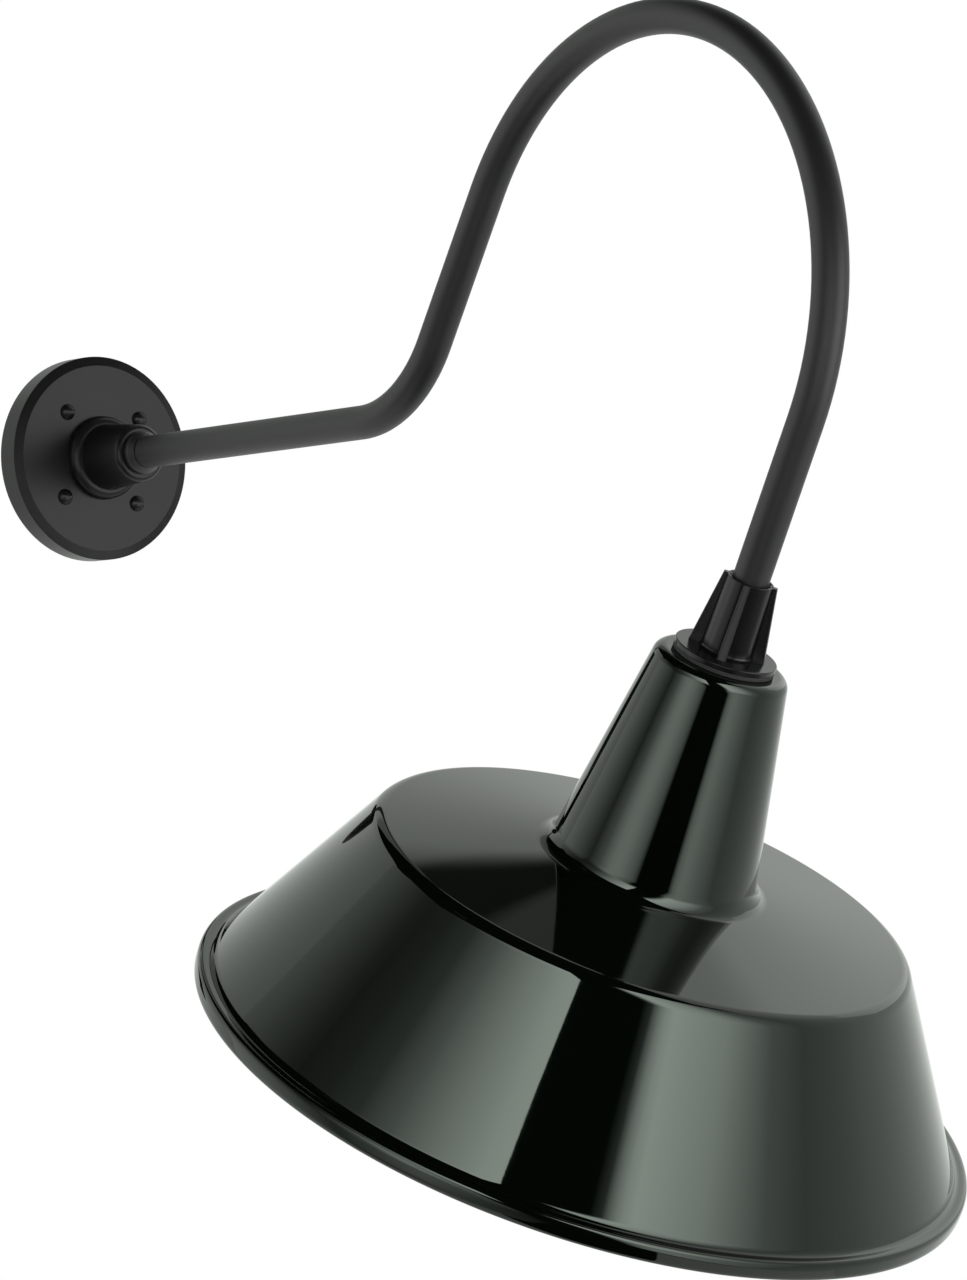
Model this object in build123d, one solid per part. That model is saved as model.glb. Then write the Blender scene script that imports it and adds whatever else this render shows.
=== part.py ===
"""Gooseneck barn light: a cast wall plate, a bent tube arm, a ribbed fitter and a spun steel shade.

The origin is the centre of the wall plate's back, on the wall. The arm leaves the wall along -Y,
+Z is up, and the light is symmetric about the plane X = 0. Sizes are in millimetres and degrees.
"""
import os
from math import cos, hypot, radians, sin, tan

from build123d import *

# Arm tube, bent in the plane X = 0
tube_diameter = 19.05
tube_wall = 1.65
wall_to_bend = 282.0
rising_bend_radius = 76.2
rising_bend_angle = 60.0
rising_straight = 90.5
loop_radius = 152.4
loop_angle = 177.5
drop_straight = 86.4
arm_end_gap = 0.2

# Fits
running_clearance = 0.05
seat_clearance = 0.02
screw_clearance = 0.25
clamp_gap = 0.3

# Wall plate and its hub
plate_diameter = 122.0
plate_depth = 16.6
plate_bevel_width = 5.5
plate_bevel_drop = 1.8
plate_rim_wall = 5.0
plate_face_wall = 4.0
hub_reach = 59.0
hub_end_wall = 5.7
hub_end_round = 3.0
hub_draft = 2.6
hub_bead_width = 5.4
hub_bead_side = 2.0
hub_bead_flat = 0.4
lead_hole_diameter = 13.0
tube_seat_wall = 9.4

# Bush that the arm turns in
bush_wall = 1.6
bush_seat_length = 18.0
bush_lip_width = 1.4
bush_lip_length = 3.5
bush_nose_length = 3.5
bush_nose_wall = 0.6

# Gasket in the back of the plate
wall_gasket_width = 12.0
wall_gasket_depth = 4.0
wall_gasket_side_gap = 0.3

# Screws into the outlet box, on the corners of a square
screw_spacing = 50.8
screw_diameter = 4.83
screw_thread_diameter = 4.4
screw_head_diameter = 9.4
screw_head_height = 3.2
screw_head_edge = 0.8
screw_slot_width = 1.3
screw_slot_depth = 1.3
screw_shank_past_face = 1.0
screw_behind_wall = 18.0

# Earth screw on a post inside the plate
earth_screw_offset = 29.0
earth_post_diameter = 10.0
earth_post_height = 5.0
earth_spigot_diameter = 6.4
earth_spigot_length = 2.4
earth_screw_diameter = 3.8
earth_screw_grip = 7.0
earth_head_diameter = 7.4
earth_head_height = 2.4

# Set screws in the hub and in the fitter
set_screw_diameter = 5.0
set_screw_recess = 0.6
set_screw_socket = 2.5
set_screw_socket_depth = 2.4
set_screw_pitch = 7.5
hub_set_screw_inset = 4.2
fitter_set_screw_inset = 9.0

# Leads and their sleeve inside the arm
lead_diameter = 2.4
lead_spacing = 3.0
sleeve_diameter = 7.6
sleeve_wall = 0.6
lead_wall_end = 13.2
lead_tail = 2.0
end_bush_bore = 8.4
end_bush_length = 10.0

# Ribbed fitter, measured from its mouth along the shade's axis
fitter_socket_depth = 30.0
fitter_mouth_wall = 2.7
fitter_mouth_gap = 1.7
fitter_mouth_chamfer = 2.0
fitter_barrel_length = 39.5
fitter_draft = 1.7
fitter_flange_margin = 6.8
fitter_flange_depth = 3.0
fitter_edge_round = 0.6
fitter_foot_round = 1.2
rib_count = 4
rib_rise_top = 2.0
rib_rise_bottom = 6.2
rib_width_top = 3.3
rib_width_bottom = 4.7
rib_edge_round = 0.5
rib_root = 1.2
spigot_wall = 6.5
spigot_hole_diameter = 11.0

# Gasket and ring nut that clamp the shade
shade_gasket_depth = 2.4
shade_gasket_setback = 0.2
lock_ring_width = 6.8
lock_ring_depth = 6.0
lock_ring_notches = 6
lock_ring_notch_width = 5.0
lock_ring_notch_depth = 2.4

# Spun shade, outside sizes, from the top of its neck down
sheet = 1.2
shade_hole_clearance = 0.4
neck_margin = 8.0
neck_height = 116.2
neck_base_diameter = 110.2
shoulder_drop = 12.9
shoulder_diameter = 286.6
skirt_drop = 99.8
skirt_end_diameter = 402.1
rim_bead_diameter = 11.4
rim_bead_turn = 270.0
rim_flat = 0.2
neck_top_round = 6.0
neck_base_round = 10.0
shoulder_round = 10.0
rim_round = 5.8

# Porcelain lampholder, from the fitter's spigot down
spigot_past_ring = 2.0
holder_screw_offset = 9.5
holder_screw_diameter = 4.0
holder_screw_grip = 8.0
holder_head_diameter = 6.8
holder_head_height = 2.2
holder_top_diameter = 37.0
holder_top_length = 12.0
holder_flare_length = 4.0
holder_floor = 16.0
holder_depth = 46.0
holder_wall = 6.2
holder_mouth_chamfer = 1.4
holder_edge_round = 1.5
holder_lead_hole_diameter = 9.0
holder_lead_hole_depth = 8.0
shell_wall = 0.5
shell_length = 27.0
shell_floor_hole_diameter = 10.4
contact_diameter = 7.2
contact_height = 1.8
contact_stem_diameter = 3.8

# Lamp with a medium screw cap
cap_diameter = 25.9
cap_clearance = 0.4
cap_length = 24.0
cap_wall = 0.9
cap_thread_pitch = 3.63
cap_thread_depth = 0.9
cap_thread_turns = 5
cap_collar_length = 4.0
tip_diameter = 8.4
tip_height = 1.9
tip_gap = 0.3
insulator_height = 3.6
insulator_top_diameter = 15.0
bulb_diameter = 60.0
bulb_length = 108.0
bulb_neck_diameter = 23.4
bulb_neck_length = 4.0
bulb_wall = 0.9
bulb_neck_in_cap = 5.0
stem_diameter = 6.0
stem_flare_length = 8.0
stem_length = 30.0
filament_wire = 0.7
filament_span = 18.0
filament_rise = 20.0
filament_foot_spacing = 3.0
filament_leg = 4.0
filament_bend = 2.0

# Radii and stations worked out from the sizes above
tube_radius = tube_diameter / 2
tube_bore = tube_radius - tube_wall
tube_socket = tube_radius + running_clearance
hub_bore = tube_socket + bush_wall
hub_end_radius = hub_bore + hub_end_wall
hub_base_radius = hub_end_radius + hub_draft
cavity_depth = plate_depth - plate_face_wall
tube_seat = plate_depth + tube_seat_wall
bush_back = hub_reach - bush_seat_length
gasket_outer = plate_diameter / 2 - plate_rim_wall
gasket_inner = gasket_outer - wall_gasket_width

flange_top = fitter_barrel_length
flange_under = flange_top + fitter_flange_depth
neck_top = flange_under + shade_gasket_depth
ring_top = neck_top + sheet
spigot_end = ring_top + lock_ring_depth + spigot_past_ring
barrel_top_radius = tube_socket + fitter_mouth_wall
barrel_foot_radius = barrel_top_radius + fitter_draft
flange_radius = barrel_foot_radius + rib_rise_bottom + fitter_flange_margin
spigot_radius = holder_screw_offset + holder_screw_diameter / 2 + spigot_wall
shade_hole = spigot_radius + shade_hole_clearance

cap_radius = cap_diameter / 2
shell_bore = cap_radius + cap_clearance
holder_bore = shell_bore + shell_wall + cap_clearance
holder_radius = holder_bore + holder_wall
holder_floor_level = spigot_end + holder_floor
contact_level = holder_floor_level + shell_wall + contact_height
tip_level = contact_level + tip_gap
cap_level = tip_level + tip_height + insulator_height
cap_end = cap_level + cap_length
bulb_end = tip_level + bulb_length


# The arm's plane: first direction away from the wall, second direction up
arm_plane = Plane(origin=(0, 0, 0), x_dir=(0, -1, 0), z_dir=(-1, 0, 0))


def arm_line(wall_end, past_mouth):
    """Centre line of the arm, from wall_end off the wall to past_mouth inside the fitter."""
    rise = radians(rising_bend_angle)
    up_slope = (cos(rise), sin(rise))
    bend_start = (wall_to_bend, 0)
    bend_end = (wall_to_bend + rising_bend_radius * sin(rise), rising_bend_radius * (1 - cos(rise)))
    loop_start = (bend_end[0] + rising_straight * up_slope[0], bend_end[1] + rising_straight * up_slope[1])
    loop_centre = (loop_start[0] + loop_radius * sin(rise), loop_start[1] - loop_radius * cos(rise))
    run_out = radians(rising_bend_angle - loop_angle)
    loop_end = (loop_centre[0] - loop_radius * sin(run_out), loop_centre[1] + loop_radius * cos(run_out))
    last_run = drop_straight + past_mouth
    arm_end = (loop_end[0] + last_run * cos(run_out), loop_end[1] + last_run * sin(run_out))
    edges = [
        Line((wall_end, 0), bend_start),
        CenterArc((wall_to_bend, rising_bend_radius), rising_bend_radius, -90, rising_bend_angle),
        Line(bend_end, loop_start),
        CenterArc(loop_centre, loop_radius, 90 + rising_bend_angle, -loop_angle),
        Line(loop_end, arm_end),
    ]
    return Wire([arm_plane * edge.edge() for edge in edges])


def frame_at_wall():
    """Frame of the wall pieces: Z leaves the wall and Y is up."""
    return Plane(origin=(0, 0, 0), x_dir=(1, 0, 0), z_dir=(0, -1, 0))


def frame_at_mouth():
    """Frame of the head: origin in the fitter's mouth and Z along the shade's axis to its rim."""
    centre_line = arm_line(0, 0)
    return Plane(origin=centre_line @ 1, x_dir=(1, 0, 0), z_dir=centre_line % 1)


def turned(corners, rounds=None):
    """Solid turned about Z from (radius, height) corners, each rounded by its entry in rounds."""
    if rounds is None:
        outline = Polyline(*corners, close=True)
    else:
        outline = FilletPolyline(*corners, radius=rounds, close=True)
    return revolve(Plane.XZ * make_face(outline), Axis.Z)


def turned_sheet(edges, thickness):
    """Thin shell turned about Z from the edges of its outer line, with its thickness inside."""
    wall = Wire(edges).offset_2d(thickness, side=Side.LEFT, closed=True)
    return revolve(Plane.XZ * Face(wall), Axis.Z)


def rod(radius, start, end, centre=(0, 0)):
    """Round bar along Z between two heights."""
    return Pos(centre[0], centre[1], start) * Cylinder(
        radius, end - start, align=(Align.CENTER, Align.CENTER, Align.MIN)
    )


def ring(inner, outer, start, end):
    """Flat ring about Z between two heights."""
    return rod(outer, start, end) - rod(inner, start, end)


def swept_round(radius, path):
    """Round bar along a path."""
    return sweep(Plane(origin=path @ 0, z_dir=path % 0) * Circle(radius), path=path)


def plate_screw_places():
    """Centres of the four box screws on the plate."""
    half = screw_spacing / 2
    return [(x, y) for x in (-half, half) for y in (-half, half)]


def hub_radius_at(height):
    """Outside radius of the hub's tapered barrel at a height off the wall."""
    bead_top = plate_depth + hub_bead_side + hub_bead_width
    return hub_base_radius - hub_draft * (height - bead_top) / (hub_reach - bead_top)


def hub_set_screw_heights():
    """Heights off the wall of the set screws under the hub."""
    first = tube_seat + hub_set_screw_inset
    return [first, first + set_screw_pitch]


def fitter_set_screw_heights():
    """Heights below the fitter's mouth of its set screws."""
    return [fitter_set_screw_inset, fitter_set_screw_inset + set_screw_pitch]


def set_screw(height, surface):
    """Socket set screw along -Y, from just clear of the tube to just below a surface radius."""
    tip = tube_radius + clamp_gap
    head = surface - set_screw_recess
    body = rod(set_screw_diameter / 2 - seat_clearance, tip, head)
    socket_face = RegularPolygon(set_screw_socket / 2, 6, major_radius=False)
    socket = Pos(0, 0, head) * extrude(socket_face, -set_screw_socket_depth)
    return Pos(0, 0, height) * Rot(90, 0, 0) * (body - socket)


def set_screw_hole(height, surface):
    """Tapped hole along -Y for a set screw."""
    return Pos(0, 0, height) * Rot(90, 0, 0) * rod(set_screw_diameter / 2, tube_radius, surface)


def wall_plate():
    """Cast plate with a bevelled edge, a beaded tapering hub and an open back."""
    plate_radius = plate_diameter / 2
    bead_radius = hub_base_radius + hub_bead_width
    bead_top = plate_depth + hub_bead_side + hub_bead_width
    body = turned(
        [
            (0, 0),
            (plate_radius, 0),
            (plate_radius, plate_depth - plate_bevel_drop),
            (plate_radius - plate_bevel_width, plate_depth),
            (bead_radius, plate_depth),
            (bead_radius, bead_top),
            (hub_base_radius, bead_top),
            (hub_end_radius, hub_reach),
            (0, hub_reach),
        ],
        [0, 0, 0, 0, 0, hub_bead_width - hub_bead_flat, 0, hub_end_round, 0],
    )
    spigot_top = cavity_depth + earth_spigot_length
    body -= rod(gasket_inner, 0, cavity_depth)
    body -= rod(gasket_outer, 0, wall_gasket_depth)
    body -= rod(earth_spigot_diameter / 2, cavity_depth, spigot_top, (0, -earth_screw_offset))
    body -= rod(lead_hole_diameter / 2, 0, tube_seat)
    body -= rod(tube_socket, tube_seat, bush_back)
    body -= rod(hub_bore, bush_back, hub_reach)
    for place in plate_screw_places():
        body -= rod(screw_diameter / 2 + screw_clearance, 0, plate_depth, place)
    for height in hub_set_screw_heights():
        body -= set_screw_hole(height, hub_base_radius)
    return body


def arm_bush():
    """Lipped bush pressed into the hub's end, with a tapered nose around the tube."""
    lip = hub_bore + bush_lip_width
    lip_end = hub_reach + bush_lip_length
    nose_end = lip_end + bush_nose_length
    return turned(
        [
            (tube_socket, bush_back),
            (hub_bore - seat_clearance, bush_back),
            (hub_bore - seat_clearance, hub_reach),
            (lip, hub_reach),
            (lip, lip_end),
            (tube_socket + bush_nose_wall, nose_end),
            (tube_socket, nose_end),
        ],
        [0, 0, 0, 0, bush_lip_width, 0, 0],
    )


def hub_set_screws():
    """Two set screws in line under the hub."""
    return Part() + [set_screw(h, hub_radius_at(h)) for h in hub_set_screw_heights()]


def wall_gasket():
    """Foam ring in the step of the plate's back, flush with the rim."""
    return ring(gasket_inner, gasket_outer - wall_gasket_side_gap, 0, wall_gasket_depth)


def domed_head(diameter, height, edge):
    """Screw head standing on Z = 0, with a straight edge and a domed top."""
    radius = diameter / 2
    dome = height - edge
    sphere_radius = (radius**2 + dome**2) / (2 * dome)
    ball = Pos(0, 0, height - sphere_radius) * Sphere(sphere_radius)
    return rod(radius, 0, height) & ball


def plate_screws():
    """Four slotted screws through the plate, with threads standing out behind the wall."""
    face = cavity_depth - screw_shank_past_face
    head = domed_head(screw_head_diameter, screw_head_height, screw_head_edge)
    slot = Pos(0, 0, screw_head_height) * Box(screw_head_diameter, screw_slot_width, 2 * screw_slot_depth)
    screw = Pos(0, 0, plate_depth) * (head - slot)
    screw += rod(screw_diameter / 2, face, plate_depth)
    screw += rod(screw_thread_diameter / 2, -screw_behind_wall, face)
    return Part() + [Pos(x, y, 0) * screw for x, y in plate_screw_places()]


def earth_post():
    """Tapped post for the earth screw, pressed into the plate's back."""
    post_top = cavity_depth - earth_post_height
    spigot = earth_spigot_diameter / 2 - seat_clearance
    post = rod(earth_post_diameter / 2, post_top, cavity_depth)
    post += rod(spigot, cavity_depth, cavity_depth + earth_spigot_length)
    post -= rod(earth_screw_diameter / 2, post_top, post_top + earth_screw_grip)
    return Pos(0, -earth_screw_offset, 0) * post


def earth_screw():
    """Slotted screw for the earth lead, in its post in the plate's back."""
    post_top = cavity_depth - earth_post_height
    head = domed_head(earth_head_diameter, earth_head_height, screw_head_edge)
    head -= Pos(0, 0, earth_head_height) * Box(earth_head_diameter, screw_slot_width, screw_slot_depth)
    thread_end = post_top + earth_screw_grip
    screw = rod(earth_screw_diameter / 2 - seat_clearance, post_top, thread_end)
    screw += Pos(0, 0, post_top) * Rot(180, 0, 0) * head
    return Pos(0, -earth_screw_offset, 0) * screw


def arm_tube():
    """Bent tube from its seat in the hub to its seat in the fitter."""
    path = arm_line(tube_seat + arm_end_gap, fitter_socket_depth - arm_end_gap)
    return swept_round(tube_radius, path) - swept_round(tube_bore, path)


def lead_path():
    """Centre line of the leads, from inside the hub to inside the lampholder's top."""
    return arm_line(lead_wall_end, spigot_end + lead_tail)


def lead_sleeve():
    """Sleeve around the leads, from the hub to the lampholder."""
    path = arm_line(lead_wall_end + lead_tail, spigot_end - lead_tail)
    return swept_round(sleeve_diameter / 2, path) - swept_round(sleeve_diameter / 2 - sleeve_wall, path)


def lead(side):
    """One insulated lead inside the sleeve, on the given side of the arm's plane."""
    return Pos(side * lead_spacing / 2, 0, 0) * swept_round(lead_diameter / 2, lead_path())


def tube_end_bushes():
    """Bush in each end of the tube that keeps its edge off the sleeve."""
    outer = tube_bore - seat_clearance
    wall_start = tube_seat + arm_end_gap
    head_end = fitter_socket_depth - arm_end_gap
    at_wall = ring(end_bush_bore / 2, outer, wall_start, wall_start + end_bush_length)
    at_head = ring(end_bush_bore / 2, outer, head_end - end_bush_length, head_end)
    return Part() + [frame_at_wall() * at_wall, frame_at_mouth() * at_head]


def rib():
    """Tapered rib of the fitter's barrel, on the +X side."""
    root = tube_socket + rib_root
    top_tip = barrel_top_radius + rib_rise_top
    foot_tip = barrel_foot_radius + rib_rise_bottom
    top = Pos((root + top_tip) / 2, 0, 0) * Rectangle(top_tip - root, rib_width_top)
    foot = Pos((root + foot_tip) / 2, 0, flange_top) * Rectangle(foot_tip - root, rib_width_bottom)
    body = loft([top, foot], ruled=True)
    tip_edges = body.edges().filter_by(lambda edge: edge.length > fitter_barrel_length)
    return fillet(tip_edges.sort_by(lambda edge: -edge.center().X)[:2], rib_edge_round)


def fitter():
    """Cast fitter: a ribbed barrel around the tube, a flange and a spigot through the shade."""
    body = turned(
        [
            (tube_socket + fitter_mouth_gap, 0),
            (barrel_top_radius, 0),
            (barrel_foot_radius, flange_top),
            (flange_radius, flange_top),
            (flange_radius, flange_under),
            (spigot_radius, flange_under),
            (spigot_radius, spigot_end),
            (spigot_hole_diameter / 2, spigot_end),
            (spigot_hole_diameter / 2, fitter_socket_depth),
            (tube_socket, fitter_socket_depth),
            (tube_socket, fitter_mouth_chamfer),
        ],
        [0, 0, fitter_foot_round, fitter_edge_round, 0, 0, 0, 0, 0, 0, 0],
    )
    for index in range(rib_count):
        body += Rot(0, 0, (index + 0.5) * 360 / rib_count) * rib()
    for height in fitter_set_screw_heights():
        body -= set_screw_hole(height, barrel_foot_radius)
    for side in (-1, 1):
        hole_top = spigot_end - holder_screw_grip
        body -= rod(holder_screw_diameter / 2, hole_top, spigot_end, (side * holder_screw_offset, 0))
    return body


def barrel_radius_at(height):
    """Outside radius of the fitter's barrel at a height below its mouth."""
    return barrel_top_radius + fitter_draft * height / fitter_barrel_length


def fitter_set_screws():
    """Two set screws in line on the wall side of the fitter."""
    return Part() + [set_screw(h, barrel_radius_at(h)) for h in fitter_set_screw_heights()]


def shade_gasket():
    """Rubber ring between the fitter's flange and the shade."""
    return ring(shade_hole, flange_radius - shade_gasket_setback, flange_under, neck_top)


def shade():
    """Spun shade: a tapering neck, a sloping shoulder, a flared skirt and a rolled rim."""
    shoulder_level = neck_top + neck_height
    skirt_level = shoulder_level + shoulder_drop
    rim_level = skirt_level + skirt_drop
    skirt_radius = skirt_end_diameter / 2
    skirt_turn = atan_degrees(skirt_drop, skirt_radius - shoulder_diameter / 2)
    bead_radius = rim_bead_diameter / 2
    bead_centre = skirt_radius + rim_round * tan(radians(skirt_turn / 2)) + rim_flat
    body = FilletPolyline(
        (shade_hole, neck_top),
        (flange_radius + neck_margin, neck_top),
        (neck_base_diameter / 2, shoulder_level),
        (shoulder_diameter / 2, skirt_level),
        (skirt_radius, rim_level),
        (bead_centre, rim_level),
        radius=[neck_top_round, neck_base_round, shoulder_round, rim_round],
    )
    bead = CenterArc((bead_centre, rim_level + bead_radius), bead_radius, -90, rim_bead_turn)
    return turned_sheet(body.edges() + bead.edges(), sheet)


def atan_degrees(rise, run):
    """Angle in degrees of a slope with the given rise and run."""
    return Vector(run, rise).get_angle(Vector(1, 0))


def shade_lock_ring():
    """Notched ring nut on the spigot that clamps the shade from inside."""
    outer = spigot_radius + lock_ring_width
    body = ring(spigot_radius + seat_clearance, outer, ring_top, ring_top + lock_ring_depth)
    notch = Pos(outer, 0, ring_top + lock_ring_depth / 2) * Box(
        2 * lock_ring_notch_depth, lock_ring_notch_width, lock_ring_depth
    )
    for index in range(lock_ring_notches):
        body -= Rot(0, 0, index * 360 / lock_ring_notches) * notch
    return body


def lampholder_body():
    """Porcelain body with a thick floor, screwed up against the fitter's spigot."""
    top_radius = holder_top_diameter / 2
    flare_start = spigot_end + holder_top_length
    mouth = spigot_end + holder_depth
    lead_hole = holder_lead_hole_diameter / 2
    lead_hole_end = spigot_end + holder_lead_hole_depth
    contact_hole = contact_stem_diameter / 2
    body = turned(
        [
            (lead_hole, spigot_end),
            (top_radius, spigot_end),
            (top_radius, flare_start),
            (holder_radius, flare_start + holder_flare_length),
            (holder_radius, mouth),
            (holder_bore + holder_mouth_chamfer, mouth),
            (holder_bore, mouth - holder_mouth_chamfer),
            (holder_bore, holder_floor_level),
            (contact_hole, holder_floor_level),
            (contact_hole, lead_hole_end),
            (lead_hole, lead_hole_end),
        ],
        [0, holder_edge_round, 0, 0, holder_edge_round, 0, 0, 0, 0, 0, 0],
    )
    hole = holder_screw_diameter / 2 + screw_clearance
    for side in (-1, 1):
        body -= rod(hole, spigot_end, holder_floor_level, (side * holder_screw_offset, 0))
    return body


def lampholder_shell():
    """Screw shell, held to the porcelain's floor under the two holder screws."""
    floor_top = holder_floor_level + shell_wall
    body = ring(shell_bore, shell_bore + shell_wall, holder_floor_level, holder_floor_level + shell_length)
    body += ring(shell_floor_hole_diameter / 2, shell_bore + shell_wall, holder_floor_level, floor_top)
    hole = holder_screw_diameter / 2 + screw_clearance
    for side in (-1, 1):
        body -= rod(hole, holder_floor_level, floor_top, (side * holder_screw_offset, 0))
    return body


def lampholder_contact():
    """Centre contact: a domed button with a stem through the porcelain's floor."""
    head_height = contact_level - holder_floor_level
    head = domed_head(contact_diameter, head_height, shell_wall)
    stem_start = spigot_end + holder_lead_hole_depth
    stem = rod(contact_stem_diameter / 2 - seat_clearance, stem_start, holder_floor_level)
    return stem + Pos(0, 0, holder_floor_level) * head


def lampholder_screws():
    """Two slotted screws through the shell and the porcelain into the fitter."""
    seat = holder_floor_level + shell_wall
    head = domed_head(holder_head_diameter, holder_head_height, screw_head_edge)
    head -= Pos(0, 0, holder_head_height) * Box(holder_head_diameter, screw_slot_width, screw_slot_depth)
    screw = rod(holder_screw_diameter / 2 - seat_clearance, spigot_end - holder_screw_grip, seat)
    screw += Pos(0, 0, seat) * head
    return Part() + [Pos(side * holder_screw_offset, 0, 0) * screw for side in (-1, 1)]


def lamp_tip():
    """Solder contact at the end of the lamp's cap."""
    button = domed_head(tip_diameter, tip_height, shell_wall)
    return Pos(0, 0, tip_level + tip_height) * Rot(180, 0, 0) * button


def lamp_insulator():
    """Glass insulator between the tip and the cap."""
    top = tip_level + tip_height
    thread_root = cap_radius - cap_thread_depth
    return turned([(0, top), (insulator_top_diameter / 2, top), (thread_root, cap_level), (0, cap_level)])


def lamp_cap():
    """Screw cap with a rolled thread and a plain collar around the bulb's neck."""
    root = cap_radius - cap_thread_depth
    thread_start = cap_level + cap_thread_pitch / 4
    corners = [(root - cap_wall, cap_level), (root, cap_level)]
    for turn in range(cap_thread_turns):
        start = thread_start + turn * cap_thread_pitch
        corners.append((root, start))
        corners.append((cap_radius, start + cap_thread_pitch / 2))
    corners.append((root, thread_start + cap_thread_turns * cap_thread_pitch))
    collar = bulb_neck_diameter / 2 + seat_clearance
    corners.append((collar + cap_wall, cap_end - cap_collar_length))
    corners.append((collar + cap_wall, cap_end))
    corners.append((collar, cap_end))
    corners.append((collar, cap_end - bulb_neck_in_cap))
    corners.append((root - cap_wall, cap_end - bulb_neck_in_cap))
    return turned(corners)


def lamp_bulb():
    """Glass bulb: a round globe that sweeps in to a neck inside the cap."""
    globe = bulb_diameter / 2
    neck = bulb_neck_diameter / 2
    globe_level = bulb_end - globe
    sweep_level = cap_end + bulb_neck_length
    rise = globe_level - sweep_level
    sweep_radius = (rise**2 / (globe - neck) - globe - neck) / 2
    sweep_centre = (neck + sweep_radius, sweep_level)
    share = globe / hypot(sweep_centre[0], rise)
    meet = (sweep_centre[0] * share, globe_level - rise * share)
    neck_line = Line((neck, cap_end - bulb_neck_in_cap), (neck, sweep_level))
    sweep_arc = RadiusArc((neck, sweep_level), meet, sweep_radius)
    globe_arc = RadiusArc(meet, (0, bulb_end), -globe)
    return turned_sheet([neck_line.edge(), sweep_arc.edge(), globe_arc.edge()], bulb_wall)


def lamp_stem():
    """Flared glass stem inside the bulb that carries the filament."""
    foot = cap_end - bulb_neck_in_cap
    top = foot + stem_length
    flare = bulb_neck_diameter / 2 - bulb_wall - seat_clearance
    stem = stem_diameter / 2
    return turned([(0, foot), (flare, foot), (stem, foot + stem_flare_length), (stem, top), (0, top)])


def lamp_filament():
    """Filament on its two supports, standing on the stem."""
    foot = cap_end - bulb_neck_in_cap + stem_length
    top = foot + filament_rise
    path = FilletPolyline(
        (-filament_foot_spacing / 2, 0, foot),
        (-filament_foot_spacing / 2, 0, foot + filament_leg),
        (-filament_span / 2, 0, top),
        (filament_span / 2, 0, top),
        (filament_foot_spacing / 2, 0, foot + filament_leg),
        (filament_foot_spacing / 2, 0, foot),
        radius=filament_bend,
    )
    return swept_round(filament_wire / 2, path)


def make_pieces():
    """Every piece of the light in the part's own frame, by name."""
    wall = frame_at_wall()
    head = frame_at_mouth()
    return {
        "wall_plate": wall * wall_plate(),
        "arm_bush": wall * arm_bush(),
        "hub_set_screws": wall * hub_set_screws(),
        "wall_gasket": wall * wall_gasket(),
        "plate_screws": wall * plate_screws(),
        "earth_post": wall * earth_post(),
        "earth_screw": wall * earth_screw(),
        "arm_tube": arm_tube(),
        "tube_end_bushes": tube_end_bushes(),
        "lead_sleeve": lead_sleeve(),
        "live_lead": lead(-1),
        "neutral_lead": lead(1),
        "fitter": head * fitter(),
        "fitter_set_screws": head * fitter_set_screws(),
        "shade_gasket": head * shade_gasket(),
        "shade": head * shade(),
        "shade_lock_ring": head * shade_lock_ring(),
        "lampholder_body": head * lampholder_body(),
        "lampholder_shell": head * lampholder_shell(),
        "lampholder_contact": head * lampholder_contact(),
        "lampholder_screws": head * lampholder_screws(),
        "lamp_tip": head * lamp_tip(),
        "lamp_insulator": head * lamp_insulator(),
        "lamp_cap": head * lamp_cap(),
        "lamp_bulb": head * lamp_bulb(),
        "lamp_stem": head * lamp_stem(),
        "lamp_filament": head * lamp_filament(),
    }


os.makedirs("parts", exist_ok=True)
for piece_name, piece in make_pieces().items():
    export_step(piece, f"parts/{piece_name}.step")
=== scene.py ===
"""Looks of the gooseneck barn light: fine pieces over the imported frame, finishes, studio and camera."""

import logging
import math
from collections.abc import Callable
from dataclasses import dataclass
from enum import Enum
from typing import ClassVar

import bpy
from mathutils import Matrix, Vector


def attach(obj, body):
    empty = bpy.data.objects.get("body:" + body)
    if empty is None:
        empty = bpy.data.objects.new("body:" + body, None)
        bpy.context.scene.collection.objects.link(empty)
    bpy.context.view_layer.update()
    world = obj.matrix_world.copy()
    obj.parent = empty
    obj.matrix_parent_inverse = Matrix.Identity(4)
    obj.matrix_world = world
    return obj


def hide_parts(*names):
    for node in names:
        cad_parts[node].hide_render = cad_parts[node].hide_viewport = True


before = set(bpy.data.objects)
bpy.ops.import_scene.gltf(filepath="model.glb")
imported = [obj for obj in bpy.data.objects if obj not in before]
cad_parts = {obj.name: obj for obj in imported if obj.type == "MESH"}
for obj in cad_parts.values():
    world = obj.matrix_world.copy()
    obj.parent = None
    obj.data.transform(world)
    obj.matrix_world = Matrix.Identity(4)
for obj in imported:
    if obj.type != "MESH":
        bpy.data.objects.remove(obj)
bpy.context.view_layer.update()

LOG = logging.getLogger("barn_light")
MM = 0.001
WHITE = (1, 1, 1, 1)

Piece = bpy.types.Object
Node = bpy.types.Node
Station = tuple[float, float]
Span = tuple[float, float]
Corner = tuple[float, float, float]
Colour = tuple[float, float, float]
Row = tuple[tuple[float, float], ...]


def heading(bearing: float, lift: float) -> Vector:
    """Gives the direction at a bearing from straight out of the wall and a lift above level, in degrees."""
    around, climb = math.radians(bearing), math.radians(lift)
    return Vector((math.sin(around) * math.cos(climb), -math.cos(around) * math.cos(climb), math.sin(climb)))


class Body(Enum):
    """Rigid bodies that a piece can ride on."""

    WALL = "wall"
    ARM = "arm"
    HEAD = "head"
    LAMP = "lamp"


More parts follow.
